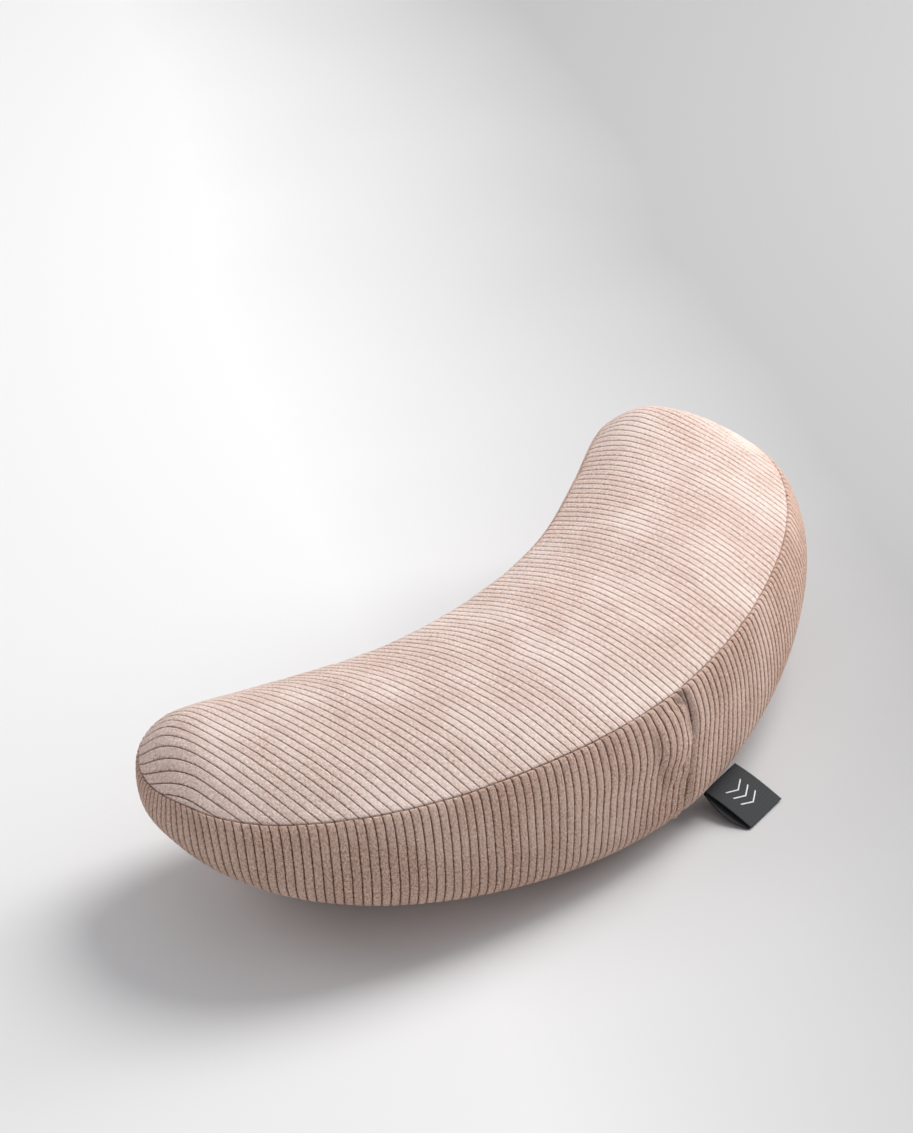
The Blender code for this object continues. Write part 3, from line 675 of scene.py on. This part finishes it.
def case_layer(base, normal, inward, from_seam, depth, fade):
    """Points of the inner case at a depth below the surface, deeper along the seams and behind the zips."""
    near = np.exp(-from_seam / (4 * MM))[..., None]
    points = base - (normal * (1 - near) + inward * near) * depth - inward * near * CORNER_EXTRA
    rumple = 0.28 * MM * (soft_noise(base, 0.012, 11) + soft_noise(base, 0.03, 12))
    points = points - normal * (rumple + 0.25 * MM)[..., None]
    points[..., 1] += CASE_DENT * zip_dent(base) * fade
    return settle(points)


def make_case_panel(name, part, up):
    """The case's top or bottom, with the dent behind the zips fading out inwards."""
    x, y, base, normal, inward, distance = panel_grid(part, up, 0.0, 40, plain_columns)
    fade = np.clip(1 - distance / (DEPTH / 2), 0, 1) ** 6
    layers = [case_layer(base, normal, inward, distance, CASE_DEPTH + more, fade) for more in (0.0, COTTON)]
    if up < 0:
        layers[0][..., 2] = np.maximum(layers[0][..., 2], 2.3 * MM)
        layers[1][..., 2] = np.maximum(layers[1][..., 2], layers[0][..., 2] + 0.5 * MM)
    return cloth(name, layers[0], layers[1], np.ones_like(x), x, y, (0, 0, up))


def make_case_band(name):
    """The case's side, open behind the zips."""
    start, stop = (front_distance(x) for x in (ZIP_X + CASE_OPENING, ZIP_X - CASE_OPENING))
    rows, cols = 22, 420
    places = np.linspace(start, stop + PERIMETER, cols)
    ts = (1 - np.cos(np.linspace(0, math.pi, rows))) / 2
    us = u_at(places)
    base = np.array([surface(us, "band", t) for t in ts])
    outward = np.array([normals(us, "band", t) for t in ts])
    from_top, from_base = seam_distances(base)
    upper = (from_top < from_base)[..., None]
    inward = np.where(upper, seam_offset(us, "top"), seam_offset(us, "base"))
    from_seam = np.minimum(from_top, from_base)
    layers = [case_layer(base, outward, inward, from_seam, CASE_DEPTH + more, 1.0) for more in (0.0, COTTON)]
    across = np.broadcast_to(places, from_top.shape)
    middle = outward[rows // 2, cols // 2]
    return cloth(name, layers[0], layers[1], np.ones_like(from_top), across, from_top, middle)


def make_filling(name):
    """The loose husks in bulk, from the CAD solid: a finer, uneven mesh that settles with the cover."""
    piece = new_piece(name, bpy.data.objects["husk_filling"].data.copy())
    remesh = piece.modifiers.new("remesh", "REMESH")
    remesh.mode = "VOXEL"
    remesh.voxel_size = 4.0 * MM
    finer = piece.modifiers.new("finer", "SUBSURF")
    finer.levels = finer.render_levels = 1
    ready = bpy.data.meshes.new_from_object(piece.evaluated_get(bpy.context.evaluated_depsgraph_get()))
    piece.modifiers.clear()
    piece.data = ready
    points = np.empty(len(ready.vertices) * 3, np.float32)
    outward = points.copy()
    ready.vertices.foreach_get("co", points)
    ready.vertices.foreach_get("normal", outward)
    points, outward = points.reshape(-1, 3).astype(float), outward.reshape(-1, 3)
    lumps = 0.45 * MM * (soft_noise(points, 0.0035, 21) + soft_noise(points, 0.02, 22)) - 0.7 * MM
    points = settle(points + outward * lumps[:, None])
    ready.vertices.foreach_set("co", points.astype(np.float32).ravel())
    ready.update()
    ready.shade_smooth()
    return piece


# ---- The woven label ---------------------------------------------------------------------------------

def label_frame():
    """The label's root on the bottom seam, the way along the seam, and the level way out from it."""
    us = np.linspace(-1, 1, 801)
    u = np.array([np.interp(LABEL_X, surface(us, "band", 1.0)[:, 0], us)])
    along = (surface(u + 1e-3, "band", 1.0) - surface(u - 1e-3, "band", 1.0))[0]
    heading = math.atan2(along[1], along[0]) + LABEL_TURN
    along = np.array((math.cos(heading), math.sin(heading), 0.0))
    away = np.array((along[1], -along[0], 0.0))
    root = surface(u, "band", 1.0)[0] + away * LABEL_OUT - np.array((0.0, 0.0, LABEL_BELOW))
    return root, along, away


def label_layers(across, run):
    """Points of the ribbon's middle surface. run goes 0 to 1 out along the upper layer, and 1 to 2 back."""
    root, along, away = label_frame()
    fall = root[2] - LABEL_TIP
    level = math.sqrt(LABEL_LENGTH**2 - fall**2)
    s = 1 - np.abs(1 - run)
    height = root[2] - fall * s**1.15 + LABEL_ARCH * np.sin(math.pi * s)
    lower = smooth((run - 1) / 0.06)
    left = 0.5 - across
    bow = LABEL_BOW * np.sin(math.pi * np.clip(s * 0.94 + 0.03, 0, 1)) ** 0.8 * (0.3 + 0.7 * left**1.4)
    height = np.maximum(height - lower * (LABEL_GAP + bow), LABEL_LOWEST)
    out = level * s + 0.3 * MM * lower * (s > 0.9)
    place = root + along * (across * LABEL_WIDTH)[..., None] + away * out[..., None]
    place[..., 2] = height
    return place - along * (lower * bow * left * LABEL_SLIP)[..., None]


def make_label(name):
    """A ribbon folded once at its free end, with its two ends caught in the seam."""
    across = np.linspace(-0.5, 0.5, 41)
    run = np.concatenate((np.linspace(0, 0.95, 40), np.linspace(0.96, 1.07, 14), np.linspace(1.09, 2, 40)))
    across, run = (grid.T for grid in np.meshgrid(across, run, indexing="ij"))
    middle = label_layers(across, run)
    normal = grid_normals(middle)
    outer = middle + normal * LABEL_THICK / 2
    inner = middle - normal * LABEL_THICK / 2
    facing = normal[run.shape[0] // 2, run.shape[1] // 2]
    return cloth(name, outer, inner, np.ones_like(run), across * LABEL_WIDTH, run * LABEL_LENGTH, facing)


def make_motif(name):
    """Three raised chevrons of light thread on the label's upper layer."""
    points, faces = [], []
    arms = np.linspace(-1, 1, 33)
    for centre in CHEVRONS:
        run = centre + CHEVRON_POINT * (1 - np.abs(arms)) - CHEVRON_POINT / 2
        lines = []
        for shift in STROKE_EDGES:
            line = label_layers(arms * CHEVRON_HALF_WIDTH, run + shift)
            on_edge = shift in (STROKE_EDGES[0], STROKE_EDGES[-1])
            lift = LABEL_THICK / 2 + (STROKE_SINK if on_edge else STROKE_RISE)
            lines.append(line + np.array((0.0, 0.0, lift)))
        top = np.array(lines)
        low = top - np.array((0.0, 0.0, STROKE_THICK))
        rows, cols = top.shape[:2]
        offset = len(points)
        points.extend(top.reshape(-1, 3))
        points.extend(low.reshape(-1, 3))
        sides = rim(rows, cols, rows * cols)
        made = np.concatenate((quads(rows, cols, 0), quads(rows, cols, rows * cols, True), sides))
        faces.append(made + offset)
    return new_piece(name, new_mesh(name, np.array(points), np.concatenate(faces)))


# ---- Materials ---------------------------------------------------------------------------------------

class Shader:
    """A material's node tree, with short calls for the nodes that the finishes here are made of."""

    def __init__(self, name, colour, roughness, metallic=0.0):
        self.material = bpy.data.materials.new(name)
        self.material.use_nodes = True
        self.tree = self.material.node_tree
        self.body = self.tree.nodes["Principled BSDF"]
        self.set(self.body, "Base Color", (*colour, 1.0))
        self.set(self.body, "Roughness", roughness)
        self.set(self.body, "Metallic", metallic)

    def set(self, node, name, value):
        """Links a socket to an input, or sets the input to a constant. name may be the input's index."""
        if isinstance(value, bpy.types.NodeSocket):
            self.tree.links.new(value, node.inputs[name])
        else:
            node.inputs[name].default_value = value

    def node(self, kind, values=(), output=0, **settings):
        made = self.tree.nodes.new(kind)
        for key, value in settings.items():
            setattr(made, key, value)
        for name, value in dict(values).items():
            self.set(made, name, value)
        return made.outputs[output]

    def noise(self, place, scale, detail=3.0, roughness=0.55):
        values = {"Vector": place, "Scale": scale, "Detail": detail, "Roughness": roughness}
        return self.node("ShaderNodeTexNoise", values)

    def stretch(self, place, scale):
        return self.node("ShaderNodeMapping", {"Vector": place, "Scale": scale})

    def ramp(self, value, stops):
        made = self.tree.nodes.new("ShaderNodeValToRGB")
        self.tree.links.new(value, made.inputs[0])
        line = made.color_ramp
        while len(line.elements) < len(stops):
            line.elements.new(0.5)
        for element, (place, colour) in zip(line.elements, stops):
            element.position = place
            element.color = (*colour, 1.0) if hasattr(colour, "__len__") else (colour,) * 3 + (1.0,)
        return made.outputs[0]

    def mix(self, share, one, two):
        made = self.tree.nodes.new("ShaderNodeMix")
        made.data_type = "RGBA"
        for index, value in ((0, share), (6, one), (7, two)):
            self.set(made, index, (*value, 1.0) if isinstance(value, tuple) else value)
        return made.outputs[2]

    def maths(self, kind, one, two=0.0):
        return self.node("ShaderNodeMath", {0: one, 1: two}, operation=kind)

    def bump(self, height, distance, strength=1.0):
        return self.node("ShaderNodeBump", {"Height": height, "Distance": distance, "Strength": strength})

    def stripes(self, place, scale, distortion, direction, detail_scale=1.0):
        values = {"Vector": place, "Scale": scale, "Distortion": distortion, "Detail Scale": detail_scale}
        settings = {"wave_type": "BANDS", "bands_direction": direction}
        return self.node("ShaderNodeTexWave", values, output=1, **settings)

    def finished(self, colour, normal):
        """Links the last two inputs that every finish here has, and gives its material."""
        self.set(self.body, "Base Color", colour)
        self.set(self.body, "Normal", normal)
        return self.material

    def local_place(self):
        return self.node("ShaderNodeTexCoord", output=3)

    def weave_place(self):
        return self.node("ShaderNodeUVMap", uv_map="weave")


# The pile's colours as (middle, light, dark): a lighter copy for the top with painted light, and a darker
# copy for the side and bottom with painted shade.
TOP_PILE_PAINTED_LIT = ((0.83, 0.665, 0.595), (0.97, 0.86, 0.81), (0.50, 0.325, 0.26))
SIDE_PILE_PAINTED_SHADE = ((0.65, 0.455, 0.365), (0.90, 0.70, 0.61), (0.36, 0.205, 0.143))
# Painted shade for the bottoms of the grooves.
GROOVE_SHADE_COLOUR = (0.095, 0.032, 0.019)


def corduroy(name, pile, bare):
    """Corduroy pile: speckled ribs, crushed patches and grooves darkened with painted shade. bare is how wide
    the painted groove shade looks.
    """
    middle, light, dark = pile
    made = Shader(name, middle, 0.93)
    weave = made.weave_place()
    place = made.local_place()
    rib = made.node("ShaderNodeAttribute", output=2, attribute_name="rib")
    fuzz = made.noise(made.stretch(weave, (1.0, 0.55, 1.0)), 1050.0, 3.0, 0.8)
    fine = made.noise(made.stretch(weave, (1.0, 0.8, 1.0)), 2300.0, 2.0, 0.7)
    streak = made.noise(made.stretch(weave, (1.0, 0.05, 1.0)), 1100.0, 2.0, 0.6)
    patch = made.noise(place, 20.0, 4.0, 0.6)
    crush = made.noise(made.stretch(weave, (1.0, 0.25, 1.0)), 150.0, 4.0, 0.65)
    tone = made.mix(made.ramp(fuzz, ((0.38, 0.0), (0.62, 1.0))), dark, light)
    tone = made.mix(0.22, tone, middle)
    tone = made.mix(made.ramp(fine, ((0.4, 0.6), (0.54, 0.0))), tone, dark)
    tone = made.mix(made.ramp(fine, ((0.56, 0.0), (0.7, 0.5))), tone, light)
    tone = made.mix(made.ramp(streak, ((0.4, 0.0), (0.8, 0.3))), tone, dark)
    tone = made.mix(made.ramp(patch, ((0.42, 0.0), (0.68, 0.4))), tone, light)
    tone = made.mix(made.ramp(crush, ((0.48, 0.0), (0.75, 0.34))), tone, dark)
    # Mask of painted shade in the grooves, from the rib height made ragged.
    ragged = made.maths("ADD", rib, made.maths("MULTIPLY", made.maths("SUBTRACT", fuzz, 0.5), 0.9))
    depth = made.ramp(ragged, ((bare * 0.4, 0.0), (bare, 0.45), (min(1.0, bare + 0.35), 1.0)))
    made.set(made.body, "Sheen Weight", 0.06)
    made.set(made.body, "Sheen Roughness", 0.5)
    made.set(made.body, "Sheen Tint", (1.0, 0.84, 0.77, 1.0))
    made.set(made.body, "Specular IOR Level", 0.04)
    height = made.maths("ADD", fuzz, made.maths("MULTIPLY", streak, 0.4))
    height = made.maths("ADD", height, made.maths("MULTIPLY", fine, 0.5))
    tone = made.mix(depth, GROOVE_SHADE_COLOUR, tone)
    return made.finished(tone, made.bump(height, 0.7 * MM, 1.0))


def woven(name, colour, dark, fineness):
    """Plain-woven cloth, by the cloth's own flat coordinates. fineness is the threads' texture scale."""
    made = Shader(name, colour, 0.85)
    weave = made.weave_place()
    place = made.local_place()
    warp, weft = (made.stripes(weave, fineness, 0.5, axis, 2.0) for axis in ("X", "Y"))
    crossing = made.maths("MULTIPLY", warp, weft)
    cloud = made.noise(place, 60.0)
    slub = made.noise(made.stretch(weave, (1.0, 0.08, 1.0)), 900.0)
    tone = made.mix(made.ramp(crossing, ((0.05, 0.0), (0.6, 1.0))), dark, colour)
    tone = made.mix(made.ramp(slub, ((0.45, 0.0), (0.75, 0.4))), tone, dark)
    made.set(made.body, "Sheen Weight", 0.2)
    tone = made.mix(made.ramp(cloud, ((0.3, 0.0), (0.8, 0.3))), tone, dark)
    return made.finished(tone, made.bump(crossing, 0.15 * MM, 0.7))


def zip_tape():
    """Herringbone tape: slanted threads that change direction every millimetre."""
    made = Shader("zip_tape_weave", (0.55, 0.40, 0.34), 0.85)
    place = made.local_place()
    parts = made.tree.nodes.new("ShaderNodeSeparateXYZ")
    made.tree.links.new(place, parts.inputs[0])
    zigzag = made.maths("PINGPONG", parts.outputs[0], 1.0 * MM)
    phase = made.maths("ADD", parts.outputs[2], zigzag)
    wave = made.maths("SINE", made.maths("MULTIPLY", phase, 2 * math.pi / (0.7 * MM)))
    grain = made.noise(place, 2500.0)
    height = made.maths("ADD", wave, grain)
    tone = made.mix(made.ramp(height, ((0.0, 0.0), (1.0, 1.0))), (0.40, 0.275, 0.225), (0.62, 0.46, 0.39))
    made.set(made.body, "Sheen Weight", 0.2)
    return made.finished(tone, made.bump(height, 0.12 * MM, 0.8))


def moulded(name, colour, dark, roughness):
    """Satin plastic with faint flow marks and rubbed spots."""
    made = Shader(name, colour, roughness)
    place = made.local_place()
    grain = made.noise(place, 1500.0)
    cloud = made.noise(place, 220.0)
    made.set(made.body, "Roughness", made.ramp(grain, ((0.3, roughness * 0.8), (0.7, roughness * 1.3))))
    tone = made.mix(made.ramp(cloud, ((0.35, 0.0), (0.75, 0.6))), colour, dark)
    return made.finished(tone, made.bump(grain, 0.03 * MM, 0.6))


def plated_metal():
    """Satin nickel with fine brushing and dull spots."""
    made = Shader("satin_nickel", (0.62, 0.60, 0.57), 0.33, 1.0)
    place = made.local_place()
    brushed = made.noise(made.stretch(place, (1.0, 1.0, 0.05)), 6000.0, 2.0, 0.6)
    cloud = made.noise(place, 300.0)
    tone = made.mix(made.ramp(cloud, ((0.35, 0.0), (0.75, 0.5))), (0.66, 0.64, 0.61), (0.44, 0.42, 0.39))
    made.set(made.body, "Roughness", made.ramp(brushed, ((0.3, 0.24), (0.7, 0.46))))
    return made.finished(tone, made.bump(brushed, 0.02 * MM, 0.5))


def sewing_thread():
    """Twisted cotton thread: fine slanted plies along it."""
    made = Shader("sewing_thread", (0.60, 0.43, 0.37), 0.7)
    place = made.local_place()
    plies = made.stripes(place, 260.0, 1.0, "DIAGONAL")
    tone = made.mix(plies, (0.42, 0.28, 0.23), (0.66, 0.49, 0.42))
    return made.finished(tone, made.bump(plies, 0.1 * MM, 0.8))


def husks():
    """Loose dry husks: small overlapping shells in several browns, with painted shade darkening each shell
    towards its edge.
    """
    made = Shader("dry_husks", (0.36, 0.25, 0.14), 0.8)
    place = made.local_place()
    cells = made.tree.nodes.new("ShaderNodeTexVoronoi")
    made.tree.links.new(place, cells.inputs["Vector"])
    made.set(cells, "Scale", 330.0)
    shade = made.noise(place, 500.0, 3.0, 0.6)
    # Painted shade, darkest at each shell's edge, where the gaps between the husks lie.
    edge = made.ramp(cells.outputs["Distance"], ((0.1, 0.0), (0.7, 1.0)))
    tone = made.mix(edge, (0.44, 0.31, 0.17), (0.10, 0.06, 0.03))
    tone = made.mix(made.ramp(shade, ((0.4, 0.0), (0.7, 0.7))), tone, (0.58, 0.44, 0.27))
    return made.finished(tone, made.bump(cells.outputs["Distance"], 1.2 * MM, 0.9))


def label_ribbon():
    """Charcoal satin ribbon with fine crosswise threads."""
    made = Shader("label_ribbon", (0.018, 0.020, 0.022), 0.68)
    weave = made.weave_place()
    picks, warp = (made.stripes(weave, 160.0, 0.8, axis) for axis in ("Y", "X"))
    lint = made.noise(weave, 2400.0, 4.0, 0.7)
    height = made.maths("ADD", made.maths("MULTIPLY", picks, 0.7), made.maths("MULTIPLY", warp, 0.4))
    tone = made.mix(made.ramp(height, ((0.0, 0.0), (1.0, 1.0))), (0.016, 0.018, 0.020), (0.023, 0.025, 0.028))
    tone = made.mix(made.ramp(lint, ((0.55, 0.0), (0.8, 0.5))), tone, (0.050, 0.052, 0.055))
    made.set(made.body, "Sheen Weight", 0.04)
    made.set(made.body, "Specular IOR Level", 0.22)
    return made.finished(tone, made.bump(height, 0.04 * MM, 0.5))


def motif_thread():
    """Pale embroidery thread in close satin stitch."""
    made = Shader("motif_thread", (0.62, 0.63, 0.63), 0.55)
    place = made.local_place()
    stitch = made.noise(made.stretch(place, (1.0, 0.2, 1.0)), 5200.0, 2.0, 0.6)
    tone = made.mix(made.ramp(stitch, ((0.35, 0.0), (0.65, 1.0))), (0.40, 0.41, 0.42), (0.74, 0.75, 0.75))
    return made.finished(tone, made.bump(stitch, 0.08 * MM, 0.7))


# The floor's albedo and its darker painted shade, the direction the painted shade comes in along, and where
# that starts and how wide it is in metres.
FLOOR_LIGHT = (0.71, 0.71, 0.716)
FLOOR_SHADE = (0.35, 0.35, 0.356)
FLOOR_SHADE_FALL = (0.83, -0.61)
FLOOR_START = 0.09
FLOOR_WIDTH = 0.34


def plain_floor():
    """A pale studio floor with painted shade that darkens it a little towards one side."""
    made = Shader("studio_floor", FLOOR_LIGHT, 0.85)
    place = made.local_place()
    parts = made.tree.nodes.new("ShaderNodeSeparateXYZ")
    made.tree.links.new(place, parts.inputs[0])
    one, two = (made.maths("MULTIPLY", parts.outputs[i], FLOOR_SHADE_FALL[i]) for i in (0, 1))
    cloud = made.maths("MULTIPLY", made.maths("SUBTRACT", made.noise(place, 2.2), 0.5), 0.1)
    shade = made.maths("ADD", made.maths("ADD", one, two), made.maths("ADD", cloud, FLOOR_START))
    fall = made.ramp(made.maths("MULTIPLY", shade, 1 / FLOOR_WIDTH), ((0.0, 0.0), (1.0, 1.0)))
    tone = made.mix(fall, FLOOR_LIGHT, FLOOR_SHADE)
    return made.finished(tone, made.bump(made.noise(place, 1800.0), 0.03 * MM, 0.25))


# ---- The object --------------------------------------------------------------------------------------

def dress(piece, material, slot, body, *nodes):
    """Gives a piece its material, body and the CAD nodes that it replaces. slot is not used."""
    piece.data.materials.clear()
    piece.data.materials.append(material)
    if body is not None:
        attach(piece, body)
    if nodes:
        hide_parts(*nodes)
    return piece


def make_cover():
    # The top gets the lighter copy, painted lit; the side and bottom get the darker copy, painted shaded.
    above = corduroy("corduroy_painted_lit_top", TOP_PILE_PAINTED_LIT, 0.56)
    beside = corduroy("corduroy_painted_shade_side", SIDE_PILE_PAINTED_SHADE, 0.6)
    top = make_panel("top_panel", "top", 1, TOP_TURN, 60, TOP_RIB)
    dress(top, above, "corduroy", "cushion", "cover_top")
    bottom = make_panel("bottom_panel", "base", -1, TOP_TURN, 46, TOP_RIB)
    dress(bottom, beside, "corduroy", "cushion", "cover_bottom")
    split = -SPLIT_RIBS * PITCH
    around = PERIMETER + split
    pitch = around / round(around / PITCH)
    band = band_sheet("side_band_cloth", front_distance(UNDERLAP_END), around, pitch, 44, "under")
    dress(band, beside, "corduroy", "cushion", "side_band")
    flap = band_sheet("side_flap_cloth", split, 0.0, PITCH, 72, "over")
    dress(flap, beside, "corduroy", None, "side_flap")
    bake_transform(flap)
    stitches = sewing_thread()
    for which in ("top", "base"):
        node = ("top" if which == "top" else "bottom") + "_seam_thread"
        dress(make_thread(node + "_stitches", which), stitches, "thread", "cushion", node)


def make_inside():
    cotton = woven("unbleached_cotton", (0.80, 0.76, 0.68), (0.60, 0.55, 0.46), 55.0)
    for word, part, up in (("top", "top", 1), ("bottom", "base", -1)):
        panel = make_case_panel("case_" + word + "_cotton", part, up)
        dress(panel, cotton, "cotton", "cushion", "case_" + word)
    band = dress(make_case_band("case_band_cotton"), cotton, "cotton", "cushion", "case_band")
    filling = dress(make_filling("husk_filling_bulk"), husks(), "husk", "cushion", "husk_filling")


def make_woven_label():
    label = dress(make_label("woven_label_ribbon"), label_ribbon(), "label", "label", "woven_label")
    motif = dress(make_motif("label_chevrons"), motif_thread(), "thread", "label")


def finish_zips():
    """The zips keep their CAD shapes and get their finishes."""
    finishes = {
        "tape": zip_tape(),
        "zip_plastic": moulded("zip_teeth_plastic", (0.58, 0.42, 0.36), (0.46, 0.32, 0.27), 0.42),
        "zip_metal": plated_metal(),
    }
    slots = {"tape": "tape", "teeth": "zip_plastic"}
    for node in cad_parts:
        if "zip_" not in node:
            continue
        kind = node.split("zip_", 1)[1].split("_")[0]
        bpy.data.objects[node].material_slots[0].material = finishes[slots.get(kind, "zip_metal")]


FLOOR_REACH = 4.0
SKY = (0.97, 0.975, 1.0, 1.0)
SKY_STRENGTH = 0.55
WARM = (1.0, 0.985, 0.97)
WHITE = (1.0, 1.0, 1.0)
# Each lamp's place, target, size, power and colour.
LAMPS = {
    "key": ((1.3, -0.1, 1.95), (0.0, 0.0, 0.05), 1.3, 41.0, WARM),
    "right_side": ((1.75, -0.55, 0.8), (0.1, 0.0, 0.05), 0.9, 22.0, WARM),
    "left_wash": ((-1.3, 1.5, 1.7), (-0.35, 0.25, 0.0), 1.2, 6.5, WHITE),
}


def make_floor():
    corners = np.array(((-1, -1, 0), (1, -1, 0), (1, 1, 0), (-1, 1, 0)), float) * FLOOR_REACH
    floor = new_piece("floor", new_mesh("floor", corners, np.array(((0, 1, 2, 3),))))
    floor.data.materials.append(plain_floor())


def area_light(name, place, target, size, power, colour):
    """A round lamp at a place, turned towards its target."""
    data = bpy.data.lights.new(name, "AREA")
    data.shape = "DISK"
    data.size = size
    data.energy = power
    data.color = colour
    lamp = new_piece(name, data)
    lamp.location = place
    lamp.rotation_euler = (Vector(target) - Vector(place)).to_track_quat("-Z", "Y").to_euler()


def make_studio():
    world = bpy.data.worlds.new("studio")
    world.use_nodes = True
    sky = world.node_tree.nodes["Background"]
    sky.inputs["Color"].default_value = SKY
    sky.inputs["Strength"].default_value = SKY_STRENGTH
    bpy.context.scene.world = world
    for name, settings in LAMPS.items():
        area_light(name, *settings)
    bpy.context.scene.view_settings.view_transform = "Standard"


# The camera, as worked out from the photo's outline: its focal length is in the photo's pixels.
CAMERA_AZIMUTH = math.radians(50.2034)
CAMERA_ELEVATION = math.radians(34.1898)
CAMERA_PLACE = (-1.0448, -0.7891, 1.0264)
FRAME_WIDTH = 913
FOCAL_PIXELS = 3036.17
SENSOR_WIDTH = 36.0


def make_camera():
    data = bpy.data.cameras.new("camera")
    data.sensor_fit = "HORIZONTAL"
    data.sensor_width = SENSOR_WIDTH
    data.lens = SENSOR_WIDTH * FOCAL_PIXELS / FRAME_WIDTH
    data.clip_start = 0.05
    camera = new_piece("camera", data)
    flat = math.cos(CAMERA_ELEVATION)
    east, north = math.sin(CAMERA_AZIMUTH) * flat, math.cos(CAMERA_AZIMUTH) * flat
    camera.location = CAMERA_PLACE
    heading = Vector((east, north, -math.sin(CAMERA_ELEVATION)))
    camera.rotation_euler = heading.to_track_quat("-Z", "Y").to_euler()
    bpy.context.scene.camera = camera


make_camera()
make_studio()
make_floor()
make_cover()
make_inside()
make_woven_label()
finish_zips()
